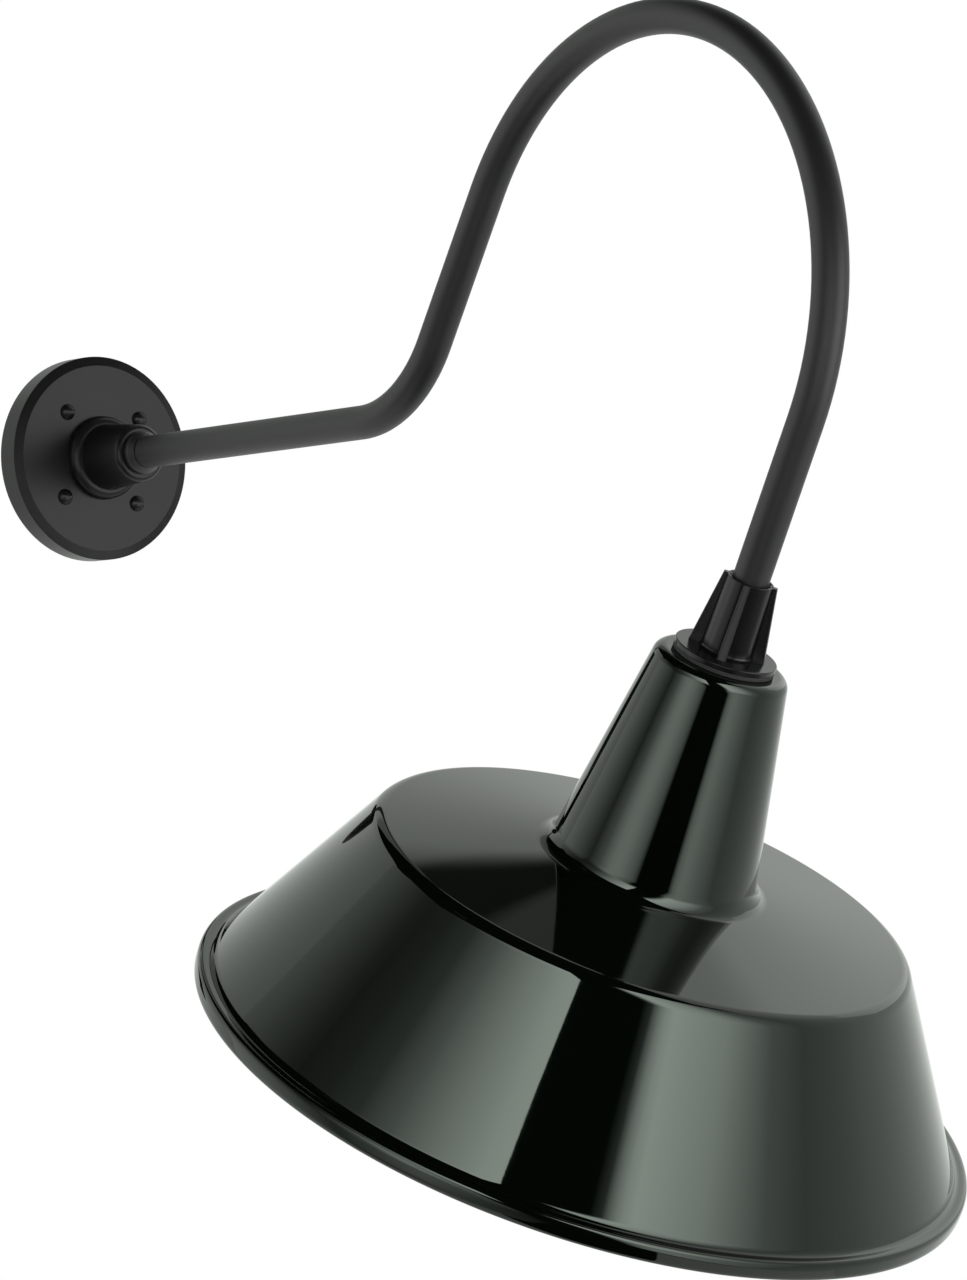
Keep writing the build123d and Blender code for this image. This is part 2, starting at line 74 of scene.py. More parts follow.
class Place(Enum):
    """Frames that pieces are modelled in: origin in millimetres, and direction of the height."""

    WALL = ((0, 0, 0), (0, -1, 0))
    HEAD = ((0, -620.5088, -106.7329), (0, 0.461749, -0.887011))

    def matrix(self) -> Matrix:
        """Gives this frame's place in the light.

        Returns:
            The matrix from this frame to the light's own, in metres.
        """
        origin, direction = self.value
        along = Vector(direction).normalized()
        across = Vector((1, 0, 0))
        made = Matrix((across, along.cross(across), along)).transposed().to_4x4()
        made.translation = Vector(origin) * MM
        return made


class Rig(Enum):
    """Sets of lamps and cards that light only the pieces in some finishes."""

    ENAMEL = "enamel_rig"
    PAINT = "paint_rig"

    def receivers(self) -> bpy.types.Collection:
        """Gives the collection of pieces that this rig lights, made the first time it is asked for."""
        return bpy.data.collections.get(self.value) or bpy.data.collections.new(self.value)


class Sketch:
    """Node tree with short calls to place and join shader nodes."""

    NODE_GAP = 220
    # Numbers of a Mix node's colour sockets, whose names its other sockets share.
    MIX_A = 6
    MIX_B = 7
    MIX_RESULT = 2

    def __init__(self, tree: bpy.types.NodeTree) -> None:
        """Keeps the tree that the nodes go into."""
        self.tree = tree

    @classmethod
    def blank(cls, owner: bpy.types.Material | bpy.types.World) -> "Sketch":
        """Starts the nodes of a material or a world afresh.

        Args:
            owner: Material or world.

        Returns:
            A sketch on its empty tree.
        """
        owner.use_nodes = True
        owner.node_tree.nodes.clear()
        return cls(owner.node_tree)

    def node(self, kind: str, inputs: dict[str | int, object] | None = None, **options: object) -> Node:
        """Adds a node, sets its options and feeds its inputs.

        Args:
            kind: Kind of shader node, such as Math.
            inputs: What its inputs get, as for feed.
            options: Options of the node, by attribute name.

        Returns:
            The new node.
        """
        made = self.tree.nodes.new(f"ShaderNode{kind}")
        made.location.x = self.NODE_GAP * len(self.tree.nodes)
        for name, value in options.items():
            setattr(made, name, value)
        self.feed(made, inputs or {})
        return made

    def feed(self, node: Node, inputs: dict[str | int, object]) -> None:
        """Gives inputs of a node their values.

        Args:
            node: Node to feed.
            inputs: A constant or another node's output for each input, by the input's name or number.
        """
        for name, value in inputs.items():
            if isinstance(value, bpy.types.NodeSocket):
                self.tree.links.new(value, node.inputs[name])
            else:
                node.inputs[name].default_value = value


class SurfaceGroups:
    """Shader node groups that the finishes share."""

    @staticmethod
    def _group(name: str, inputs: dict[str, object], outputs: dict[str, str]) -> tuple[Sketch, Node, Node]:
        """Starts a group with named sockets.

        Args:
            name: Name of the group.
            inputs: First value of each input, by name: a colour or a number.
            outputs: Socket type of each output, by name.

        Returns:
            A sketch on the group's tree, and the group's input and output nodes.
        """
        tree = bpy.data.node_groups.new(name, "ShaderNodeTree")
        for label, value in inputs.items():
            kind = "NodeSocketColor" if isinstance(value, tuple) else "NodeSocketFloat"
            tree.interface.new_socket(label, in_out="INPUT", socket_type=kind).default_value = value
        for label, kind in outputs.items():
            tree.interface.new_socket(label, in_out="OUTPUT", socket_type=kind)
        return Sketch(tree), tree.nodes.new("NodeGroupInput"), tree.nodes.new("NodeGroupOutput")

    @classmethod
    def tone_drift(cls, speckles_per_metre: float = 420, speckle_share: float = 0.35) -> None:
        """Builds the group that lets a colour and a roughness drift in soft, speckled patches.

        Args:
            speckles_per_metre: Fineness of the speckle.
            speckle_share: Share of the speckle in the drift.
        """
        inputs = {"Tone": WHITE, "Other Tone": WHITE, "Smooth": 0.4, "Rough": 0.5, "Patches per Metre": 12.0}
        outputs = {"Colour": "NodeSocketColor", "Roughness": "NodeSocketFloat"}
        sketch, enter, leave = cls._group("tone_drift", inputs, outputs)
        given = enter.outputs
        where = sketch.node("TexCoord").outputs["Object"]
        patches = sketch.node("TexNoise", {"Vector": where, "Scale": given["Patches per Metre"], "Detail": 4})
        speckle = sketch.node("TexNoise", {"Vector": where, "Scale": speckles_per_metre, "Detail": 2})
        noises = {"Factor": speckle_share, "A": patches.outputs["Fac"], "B": speckle.outputs["Fac"]}
        drift = sketch.node("Mix", noises, data_type="FLOAT").outputs["Result"]
        ends = {"Factor": drift, sketch.MIX_A: given["Tone"], sketch.MIX_B: given["Other Tone"]}
        tones = sketch.node("Mix", ends, data_type="RGBA")
        rough = sketch.node("MapRange", {"Value": drift, "To Min": given["Smooth"], "To Max": given["Rough"]})
        sketch.feed(leave, {"Colour": tones.outputs[sketch.MIX_RESULT], "Roughness": rough.outputs["Result"]})

    @classmethod
    def coat_grain(cls) -> None:
        """Builds the group that gives a coating its fine grain and its slow ripple."""
        inputs = {"Grains per Metre": 1400.0, "Ripples per Metre": 160.0, "Ripple Share": 0.4}
        sketch, enter, leave = cls._group("coat_grain", inputs, {"Height": "NodeSocketFloat"})
        given = enter.outputs
        where = sketch.node("TexCoord").outputs["Object"]
        grain = sketch.node("TexNoise", {"Vector": where, "Scale": given["Grains per Metre"], "Detail": 3})
        ripple = sketch.node("TexNoise", {"Vector": where, "Scale": given["Ripples per Metre"], "Detail": 1})
        noises = {"Factor": given["Ripple Share"], "A": grain.outputs["Fac"], "B": ripple.outputs["Fac"]}
        blend = sketch.node("Mix", noises, data_type="FLOAT")
        sketch.feed(leave, {"Height": blend.outputs["Result"]})


@dataclass(frozen=True)
class Grain:
    """Relief of a surface: a fine grain on a slow ripple, and their depth in millimetres."""

    per_metre: float
    ripples_per_metre: float
    ripple_share: float
    depth: float


@dataclass(frozen=True)
class Finish:
    """Colour, gloss and relief of one material."""

    name: str
    slot: str
    tone: Colour
    other_tone: Colour
    smooth: float
    rough: float
    patches: float
    grain: Grain
    metallic: float = 0.0
    ior: float = 1.5
    coat: float = 0.0
    transmission: float = 0.0
    tint: Colour = (1.0, 1.0, 1.0)
    rig: Rig | None = None

    def material(self) -> bpy.types.Material:
        """Gives this finish's material, made the first time it is asked for."""
        label = f"{self.name}_finish"
        return bpy.data.materials.get(label) or self._make(label)

    def _make(self, label: str) -> bpy.types.Material:
        """Builds the material's nodes.

        Args:
            label: Name of the material.

        Returns:
            The new material.
        """
        made = bpy.data.materials.new(label)
        sketch = Sketch.blank(made)
        drift = sketch.node("Group", {
            "Tone": (*self.tone, 1),
            "Other Tone": (*self.other_tone, 1),
            "Smooth": self.smooth,
            "Rough": self.rough,
            "Patches per Metre": self.patches,
        }, node_tree=bpy.data.node_groups["tone_drift"])
        relief = sketch.node("Group", {
            "Grains per Metre": self.grain.per_metre,
            "Ripples per Metre": self.grain.ripples_per_metre,
            "Ripple Share": self.grain.ripple_share,
        }, node_tree=bpy.data.node_groups["coat_grain"])
        heights = {"Strength": 1.0, "Distance": self.grain.depth * MM, "Height": relief.outputs["Height"]}
        bump = sketch.node("Bump", heights)
        shader = sketch.node("BsdfPrincipled", {
            "Base Color": drift.outputs["Colour"],
            "Roughness": drift.outputs["Roughness"],
            "Normal": bump.outputs["Normal"],
            "Metallic": self.metallic,
            "IOR": self.ior,
            "Coat Weight": self.coat,
            "Transmission Weight": self.transmission,
            "Specular Tint": (*self.tint, 1),
        })
        sketch.node("OutputMaterial", {"Surface": shader.outputs["BSDF"]})
        return made


class Finishes:
    """Every finish of the light."""

    METAL_GRAIN = Grain(2600, 400, 0.2, 0.01)
    PLASTIC_GRAIN = Grain(2200, 300, 0.3, 0.02)

    CAST_PAINT = Finish(
        "cast_black_paint", "black_paint", (0.0030, 0.0030, 0.0031), (0.0047, 0.0047, 0.0048),
        0.30, 0.38, 18, Grain(1500, 210, 0.45, 0.05), ior=1.33, rig=Rig.PAINT)
    FITTER_PAINT = Finish(
        "fitter_black_paint", "black_paint", (0.0028, 0.0028, 0.0029), (0.0042, 0.0042, 0.0043),
        0.19, 0.27, 24, Grain(1500, 210, 0.45, 0.02), ior=1.38, rig=Rig.PAINT)
    TUBE_PAINT = Finish(
        "tube_black_paint", "black_paint", (0.0040, 0.0040, 0.0042), (0.0060, 0.0060, 0.0062),
        0.43, 0.51, 14, Grain(1700, 240, 0.4, 0.03), rig=Rig.PAINT)
    GREEN_ENAMEL = Finish(
        "green_enamel", "green_enamel", (0.0009, 0.0019, 0.0010), (0.0011, 0.0024, 0.0012),
        0.020, 0.045, 9, Grain(900, 70, 0.7, 0.004), tint=(0.90, 1.0, 0.91), rig=Rig.ENAMEL)
    WHITE_ENAMEL = Finish(
        "white_enamel", "green_enamel", (0.78, 0.78, 0.75), (0.83, 0.83, 0.80),
        0.10, 0.18, 10, Grain(900, 70, 0.6, 0.01))
    RUBBER = Finish(
        "gasket_rubber", "black_rubber", (0.010, 0.010, 0.010), (0.018, 0.018, 0.018),
        0.60, 0.78, 40, Grain(1600, 300, 0.3, 0.05), rig=Rig.PAINT)
    STEEL = Finish(
        "zinc_plate", "plated_steel", (0.55, 0.56, 0.58), (0.66, 0.67, 0.68),
        0.28, 0.42, 60, METAL_GRAIN, metallic=1.0)
    EARTH = Finish(
        "green_plate", "green_earth", (0.08, 0.30, 0.13), (0.12, 0.38, 0.18),
        0.30, 0.45, 60, METAL_GRAIN, metallic=0.7)
    BLACK_PLASTIC = Finish(
        "black_plastic", "black_plastic", (0.020, 0.020, 0.020), (0.030, 0.030, 0.030),
        0.45, 0.60, 30, PLASTIC_GRAIN)
    WHITE_PLASTIC = Finish(
        "white_plastic", "white_plastic", (0.70, 0.69, 0.64), (0.78, 0.77, 0.72),
        0.42, 0.55, 30, PLASTIC_GRAIN)
    BRAID = Finish(
        "glass_braid", "glass_braid", (0.62, 0.59, 0.50), (0.76, 0.73, 0.64),
        0.75, 0.90, 200, Grain(1900, 900, 0.5, 0.25))
    PORCELAIN = Finish(
        "white_porcelain", "porcelain", (0.80, 0.79, 0.74), (0.86, 0.85, 0.81),
        0.10, 0.20, 25, Grain(700, 90, 0.7, 0.02), coat=0.4)
    BRASS = Finish(
        "bright_brass", "brass", (0.72, 0.53, 0.22), (0.80, 0.62, 0.30),
        0.22, 0.36, 50, METAL_GRAIN, metallic=1.0)
    SOLDER = Finish(
        "dull_solder", "solder", (0.48, 0.48, 0.49), (0.60, 0.60, 0.60),
        0.35, 0.55, 300, Grain(1800, 600, 0.4, 0.06), metallic=1.0)
    BLACK_GLASS = Finish(
        "black_glass", "black_glass", (0.012, 0.012, 0.013), (0.018, 0.018, 0.019),
        0.06, 0.12, 30, Grain(900, 120, 0.6, 0.01))
    LAMP_CAP = Finish(
        "lamp_cap_metal", "lamp_cap_metal", (0.74, 0.74, 0.74), (0.82, 0.82, 0.82),
        0.22, 0.34, 50, METAL_GRAIN, metallic=1.0)
    FROSTED = Finish(
        "frosted_glass", "frosted_glass", (0.93, 0.93, 0.91), (0.96, 0.96, 0.94),
        0.26, 0.34, 20, Grain(1500, 120, 0.4, 0.01), transmission=0.55)
    CLEAR_GLASS = Finish(
        "clear_glass", "clear_glass", (0.90, 0.92, 0.92), (0.94, 0.95, 0.95),
        0.02, 0.05, 20, Grain(900, 120, 0.6, 0.005), transmission=1.0)
    TUNGSTEN = Finish(
        "tungsten_wire", "tungsten", (0.22, 0.22, 0.23), (0.30, 0.30, 0.31),
        0.35, 0.50, 200, Grain(2600, 900, 0.3, 0.02), metallic=1.0)


class Outline:
    """Outlines of turned pieces, as stations of radius and height in millimetres."""

    @staticmethod
    def rounded(corners: list[Corner], steps: int, guard: float) -> list[Station]:
        """Rounds the corners of an outline.

        Args:
            corners: Radius, height and rounding of each corner. The first and last corners stay sharp.
            steps: Steps in each rounding.
            guard: Distance from a rounding to the station that holds the straight beside it true.

        Returns:
            The stations along the rounded outline.
        """
        stations: list[Station] = []
        for index, (radius, height, bend) in enumerate(corners):
            here = Vector((radius, height))
            if bend == 0 or index in (0, len(corners) - 1):
                stations.append((radius, height))
                continue
            to_last = (Vector(corners[index - 1][:2]) - here).normalized()
            to_next = (Vector(corners[index + 1][:2]) - here).normalized()
            half = to_last.angle(to_next) / 2
            reach = bend / math.tan(half)
            centre = here + (to_last + to_next).normalized() * bend / math.sin(half)
            start = here + to_last * reach - centre
            sweep = start.angle_signed(here + to_next * reach - centre)
            stations.append(tuple(here + to_last * (reach + guard)))
            for step in range(steps + 1):
                turned = start.copy()
                turned.rotate(Matrix.Rotation(-sweep * step / steps, 2))
                stations.append(tuple(centre + turned))
            stations.append(tuple(here + to_next * (reach + guard)))
        return stations

    @staticmethod
    def arc(centre: Station, radii: Station, span: Span, steps: int, fullness: float = 2) -> list[Station]:
        """Follows an arc, round or squared off.

        Args:
            centre: Centre of the arc.
            radii: Its reach outwards and along the height.
            span: Angles of its ends in degrees, from the outward direction towards greater height.
            steps: Steps along the arc.
            fullness: 2 for an ellipse, and more for flatter sides.

        Returns:
            The stations along the arc, both ends included.
        """
        stations = []
        for step in range(steps + 1):
            angle = math.radians(span[0] + (span[1] - span[0]) * step / steps)
            spot = [centre[axis] + math.copysign(radii[axis] * abs(reach) ** (2 / fullness), reach)
                    for axis, reach in enumerate((math.cos(angle), math.sin(angle)))]
            stations.append(tuple(spot))
        return stations


class Bench:
    """Modelling moves that the pieces share."""

    # Lengths in millimetres: one that counts as none, and the gap across which doubles merge.
    NOTHING = 0.001
    MERGE_GAP = 0.002
    DRILL_SIDES = 32

    @staticmethod
    def clear() -> None:
        """Leaves edit mode and deselects everything."""
        if bpy.context.object is not None and bpy.context.object.mode != "OBJECT":
            bpy.ops.object.mode_set(mode="OBJECT")
        bpy.ops.object.select_all(action="DESELECT")

    @classmethod
    def only(cls, piece: Piece) -> None:
        """Selects one piece and makes it active.

        Args:
            piece: Piece to select.
        """
        cls.clear()
        piece.select_set(True)
        bpy.context.view_layer.objects.active = piece

    @classmethod
    def ring(cls, name: str, radius: float, height: float, sides: int) -> Piece:
        """Starts a piece as a ring of edges and enters edit mode with the ring selected.

        Args:
            name: Name of the piece.
            radius: Radius of the ring in millimetres.
            height: Height of the ring in millimetres.
            sides: Sides of the ring.

        Returns:
            The new piece.
        """
        cls.clear()
        bpy.ops.mesh.primitive_circle_add(vertices=sides, radius=radius * MM)
        piece = bpy.context.object
        piece.name = name
        piece.data.name = name
        bpy.ops.object.mode_set(mode="EDIT")
        bpy.ops.mesh.select_all(action="SELECT")
        bpy.ops.transform.translate(value=(0, 0, height * MM))
        return piece

    @classmethod
    def turned(cls, name: str, stations: list[Station], sides: int, fill: bool = False) -> Piece:
        """Makes a turned piece by drawing a ring out along its outline.

        A last station of no radius closes the end in a point.

        Args:
            name: Name of the piece.
            stations: Outline of the piece, closed if its last station repeats its first.
            sides: Sides of the turned piece.
            fill: Whether to fill its open ends with faces.

        Returns:
            The new piece, selected in object mode.
        """
        radius, height = stations[0]
        piece = cls.ring(name, radius, height, sides)
        for next_radius, next_height in stations[1:]:
            rise = (next_height - height) * MM
            bpy.ops.mesh.extrude_region_move(TRANSFORM_OT_translate={"value": (0, 0, rise)})
            if next_radius < cls.NOTHING:
                bpy.ops.mesh.merge(type="CENTER")
                break
            share = next_radius / radius
            if not math.isclose(share, 1):
                middle = (0, 0, next_height * MM)
                bpy.ops.transform.resize(value=(share, share, 1), center_override=middle)
            radius, height = next_radius, next_height
        cls.close(piece, fill)
        return piece

    @classmethod
    def close(cls, piece: Piece, fill: bool = False) -> None:
        """Merges doubles, fills open ends if asked, turns the faces outwards and leaves edit mode.

        Args:
            piece: Piece in edit mode.
            fill: Whether to fill its open ends with faces.
        """
        bpy.ops.mesh.select_all(action="SELECT")
        bpy.ops.mesh.remove_doubles(threshold=cls.MERGE_GAP * MM)
        if fill:
            bpy.ops.mesh.select_mode(type="EDGE")
            bpy.ops.mesh.select_all(action="DESELECT")
            bpy.ops.mesh.select_non_manifold(extend=False)
            bpy.ops.mesh.fill_holes(sides=0)
            bpy.ops.mesh.select_mode(type="VERT")
        bpy.ops.mesh.select_all(action="SELECT")
        bpy.ops.mesh.normals_make_consistent(inside=False)
        bpy.ops.object.mode_set(mode="OBJECT")
        cls.only(piece)

    @classmethod
    def thicken(cls, piece: Piece, wall: float, inside_slot: int = 0) -> None:
        """Gives an open shell its wall, on the inside.

        Args:
            piece: Piece to thicken.
            wall: Thickness in millimetres.
            inside_slot: Material slots to move on by for the inner wall.
        """
        cls.only(piece)
        change = piece.modifiers.new("wall", "SOLIDIFY")
        change.thickness = wall * MM
        change.offset = -1
        change.use_even_offset = True
        change.material_offset = inside_slot
        bpy.ops.object.modifier_apply(modifier=change.name)

    @classmethod
    def cut(cls, piece: Piece, tool: Piece) -> None:
        """Cuts a tool's shape out of a piece and removes the tool.

        Args:
            piece: Piece to cut.
            tool: Closed shape to cut with.
        """
        cls.only(piece)
        change = piece.modifiers.new("cut", "BOOLEAN")
        change.operation = "DIFFERENCE"
        change.solver = "EXACT"
        change.object = tool
        bpy.ops.object.modifier_apply(modifier=change.name)
        bpy.data.objects.remove(tool)

    @classmethod
    def drill(cls, piece: Piece, radius: float, start: float, end: float, height: float) -> None:
        """Drills a round hole into a piece, along -Y of the frame that it is modelled in.

        Args:
            piece: Piece to drill.
            radius: Radius of the hole in millimetres.
            start: Distance of its inner end from the axis.
            end: Distance of its outer end from the axis.
            height: Height of the hole along the axis.
        """
        tool = cls.turned("drill", [(radius, start), (radius, end)], cls.DRILL_SIDES, fill=True)
        turn = Matrix.Rotation(math.radians(90), 4, "X")
        cls.settle(tool, Matrix.Translation((0, 0, height * MM)) @ turn)
        cls.cut(piece, tool)

    @classmethod
    def repeat(cls, first: Piece, moves: list[Matrix]) -> list[Piece]:
        """Copies a piece by several moves, each copy with its own mesh, and removes the first.

        Args:
            first: Piece to copy.
            moves: Move of each copy from the first.

        Returns:
            The copies.
        """
        copies = []
        for move in moves:
            copy = first.copy()
            copy.data = first.data.copy()
            bpy.context.collection.objects.link(copy)
            cls.settle(copy, move)
            copies.append(copy)
        bpy.data.objects.remove(first)
        return copies

    @classmethod
    def merge(cls, pieces: list[Piece], name: str) -> Piece:
        """Joins pieces into one.

        Args:
            pieces: Pieces to join, the first of which stays.
            name: Name of the joined piece.

        Returns:
            The joined piece.
        """
        joined = pieces[0]
        cls.only(joined)
        for other in pieces[1:]:
            other.select_set(True)
        bpy.ops.object.join()
        joined.name = name
        joined.data.name = name
        return joined

    @classmethod
    def settle(cls, piece: Piece, move: Matrix) -> None:
        """Moves a piece and applies the move to its mesh.

        Args:
            piece: Piece to move.
            move: Move from where it is.
        """
        cls.only(piece)
        piece.matrix_world = move @ piece.matrix_world
        bpy.ops.object.transform_apply(location=True, rotation=True, scale=True)

    @classmethod
    def block(cls, name: str, low: Vector, high: Vector) -> Piece:
        """Makes a block between two corners, as a tool or the start of a piece.

        Args:
            name: Name of the block.
            low: Lowest corner in millimetres.
            high: Highest corner in millimetres.

        Returns:
            The block, in object mode.
        """
        cls.clear()
        bpy.ops.mesh.primitive_cube_add(size=1)
        made = bpy.context.object
        made.name = name
        bpy.ops.object.mode_set(mode="EDIT")
        bpy.ops.mesh.select_all(action="SELECT")
        bpy.ops.transform.resize(value=tuple((high - low) * MM), center_override=(0, 0, 0))
        bpy.ops.transform.translate(value=tuple((high + low) / 2 * MM))
        bpy.ops.object.mode_set(mode="OBJECT")
        return made

    @classmethod
    def pick(cls, piece: Piece, wanted: Callable[[list[Vector]], bool]) -> None:
        """Selects the wanted edges of a piece and leaves it in edit mode.

        Args:
            piece: Piece to select on.
            wanted: Tells from an edge's two ends whether it is wanted.
        """
        cls.only(piece)
        bpy.ops.object.mode_set(mode="EDIT")
        bpy.ops.mesh.select_mode(type="EDGE")
        bpy.ops.mesh.select_all(action="DESELECT")
        bpy.ops.object.mode_set(mode="OBJECT")
        for edge in piece.data.edges:
            edge.select = wanted([piece.data.vertices[index].co for index in edge.vertices])
        bpy.ops.object.mode_set(mode="EDIT")

    @classmethod
    def complete(cls, piece: Piece, place: Place, body: Body, finish: Finish, node: str,
                 angle: float = 32) -> None:
        """Sets a modelled piece in the light and lets it ride on its body in place of its node.

        Args:
            piece: Piece, which keeps its own materials if it has any.
            place: Frame that it is modelled in.
            body: Body that it rides on.
            finish: Finish of the piece.
            node: Node of the frame that it stands for.
            angle: Angle in degrees above which its edges stay sharp.
        """
        cls.settle(piece, place.matrix())
        bpy.ops.object.shade_smooth_by_angle(angle=math.radians(angle))
        if not piece.data.materials:
            piece.data.materials.append(finish.material())
        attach(piece, body.value)
        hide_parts(node)
        if finish.rig:
            finish.rig.receivers().objects.link(piece)
        LOG.info("%s: %d faces on %s", piece.name, len(piece.data.polygons), body.value)

    @staticmethod
    def dress_nodes(finish: Finish, *nodes: str) -> None:
        """Gives nodes of the frame a finish of their own.

        Args:
            finish: Finish to give.
            nodes: Names of the nodes.
        """
        for node in nodes:
            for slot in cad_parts[node].material_slots:
                slot.material = finish.material()
            LOG.info("%s: dressed in %s", node, finish.name)


@dataclass
class WallPlate:
    """Cast wall plate with its hub, bush, screws and gasket. Sizes are in millimetres.

    A screw dome's angles are in degrees: its start counts from the head's edge, and its end from level.
    """

    radius: float = 61.0
    depth: float = 16.6
    bevel_width: float = 5.5
    bevel_drop: float = 1.8
    rim_wall: float = 5.0
    gasket_width: float = 12.0
    gasket_depth: float = 4.0
    cavity_depth: float = 12.6
    bead_radius: float = 24.875
    bead_top: float = 24.0
    bead_round: float = 5.0
    rim_round: float = 0.3
    bevel_round: float = 0.5
    face_round: float = 0.6
    bead_foot_round: float = 0.25
    hub_foot_round: float = 0.35
    lead_hole_round: float = 0.6
    cavity_round: float = 0.8
    hub_base: float = 19.475
    hub_end: float = 16.875
    hub_reach: float = 59.0
    hub_end_round: float = 3.0
    hub_bore: float = 11.175
    tube_socket: float = 9.575
    tube_seat: float = 26.0
    lead_hole: float = 6.5
    set_screw_radius: float = 2.5
    set_screw_heights: tuple[float, float] = (30.2, 37.7)
    set_screw_reach: float = 26.0
    screw_spacing: float = 50.8
    screw_head_radius: float = 4.7
    screw_head_height: float = 3.2
    screw_head_edge: float = 0.8
    screw_head_round: float = 0.15
    screw_slot_width: float = 1.3
    screw_slot_depth: float = 1.3
    screw_slot_overrun: float = 1.0
    screw_dome_start: float = 2.0
    screw_dome_end: float = 89.0
    screw_dome_steps: int = 10
    screw_shank_radius: float = 2.415
    screw_shank_inset: float = 1.0
    screw_thread_radius: float = 2.2
    screw_tip: float = 0.8
    screw_behind_wall: float = 18.0
    bush_back: float = 41.0
    bush_gap: float = 0.02
    bush_lip: float = 12.575
    bush_lip_length: float = 3.5
    bush_lip_round: float = 1.4
    bush_edge_round: float = 0.25
    bush_nose_length: float = 3.5
    bush_nose_wall: float = 0.6
    sides: int = 144
    bush_sides: int = 96
    screw_sides: int = 48

    def build(self) -> None:
        """Models and dresses the wall plate and what is fixed to it."""
        self._plate()
        self._bush()
        self._screws()
        Bench.dress_nodes(Finishes.STEEL, "hub_set_screws", "earth_post")
        Bench.dress_nodes(Finishes.EARTH, "earth_screw")
        Bench.dress_nodes(Finishes.RUBBER, "wall_gasket")

    def _plate(self) -> None:
        """Turns the plate and hub and drills the set screw holes."""
        rim = self.radius - self.rim_wall
        inner = rim - self.gasket_width
        corners = [
            (rim, 0, 0),
            (self.radius, 0, self.rim_round),
            (self.radius, self.depth - self.bevel_drop, self.bevel_round),
            (self.radius - self.bevel_width, self.depth, self.face_round),
            (self.bead_radius, self.depth, self.bead_foot_round),
            (self.bead_radius, self.bead_top, self.bead_round),
            (self.hub_base, self.bead_top, self.hub_foot_round),
            (self.hub_end, self.hub_reach, self.hub_end_round),
            (self.hub_bore, self.hub_reach, 0),
            (self.hub_bore, self.bush_back, 0),
            (self.tube_socket, self.bush_back, 0),
            (self.tube_socket, self.tube_seat, 0),
            (self.lead_hole, self.tube_seat, 0),
            (self.lead_hole, self.cavity_depth, self.lead_hole_round),
            (inner, self.cavity_depth, self.cavity_round),
            (inner, self.gasket_depth, 0),
            (rim, self.gasket_depth, 0),
            (rim, 0, 0),
        ]
        plate = Bench.turned("wall_plate_body", Outline.rounded(corners, steps=6, guard=0.15), self.sides)
        for height in self.set_screw_heights:
            Bench.drill(plate, self.set_screw_radius, self.tube_socket, self.set_screw_reach, height)
        Bench.complete(plate, Place.WALL, Body.WALL, Finishes.CAST_PAINT, "wall_plate")

    def _bush(self) -> None:
        """Turns the lipped bush in the hub's end."""
        lip_end = self.hub_reach + self.bush_lip_length
        nose_end = lip_end + self.bush_nose_length
        corners = [
            (self.tube_socket, self.bush_back, 0),
            (self.hub_bore - self.bush_gap, self.bush_back, 0),
            (self.hub_bore - self.bush_gap, self.hub_reach, 0),
            (self.bush_lip, self.hub_reach, self.bush_edge_round),
            (self.bush_lip, lip_end, self.bush_lip_round),
            (self.tube_socket + self.bush_nose_wall, nose_end, self.bush_edge_round),
            (self.tube_socket, nose_end, 0),
            (self.tube_socket, self.bush_back, 0),
        ]
        bush = Bench.turned("arm_bush_ring", Outline.rounded(corners, steps=6, guard=0.1), self.bush_sides)
        Bench.complete(bush, Place.WALL, Body.WALL, Finishes.TUBE_PAINT, "arm_bush")

    def _screws(self) -> None:
        """Models one slotted box screw and sets it at the four corners of its square."""
        dome = self.screw_head_height - self.screw_head_edge
        ball = (self.screw_head_radius**2 + dome**2) / (2 * dome)
        top = self.depth + self.screw_head_height
        shank_start = self.cavity_depth - self.screw_shank_inset
        edge_angle = math.degrees(math.asin((ball - dome) / ball))
        outline = [
            (self.screw_thread_radius - self.screw_tip, -self.screw_behind_wall),
            (self.screw_thread_radius, -self.screw_behind_wall + self.screw_tip),
            (self.screw_thread_radius, shank_start),
            (self.screw_shank_radius, shank_start),
            (self.screw_shank_radius, self.depth),
            (self.screw_head_radius - self.screw_head_round, self.depth),
            (self.screw_head_radius, self.depth + self.screw_head_round),
            (self.screw_head_radius, self.depth + self.screw_head_edge - self.screw_head_round),
        ]
        dome_span = (edge_angle + self.screw_dome_start, self.screw_dome_end)
        outline += Outline.arc((0, top - ball), (ball, ball), dome_span, self.screw_dome_steps) + [(0, top)]
        first = Bench.turned("box_screw", outline, self.screw_sides, fill=True)
        half = self.screw_slot_width / 2
        reach = self.screw_head_radius + self.screw_slot_overrun
        low = Vector((-reach, -half, top - self.screw_slot_depth))
        high = Vector((reach, half, top + self.screw_slot_overrun))
        Bench.cut(first, Bench.block("slot_tool", low, high))
        side = self.screw_spacing / 2 * MM
        moves = [Matrix.Translation((x, y, 0)) for x in (-side, side) for y in (-side, side)]
        screws = Bench.merge(Bench.repeat(first, moves), "box_screw_set")
        Bench.complete(screws, Place.WALL, Body.WALL, Finishes.CAST_PAINT, "plate_screws", angle=28)


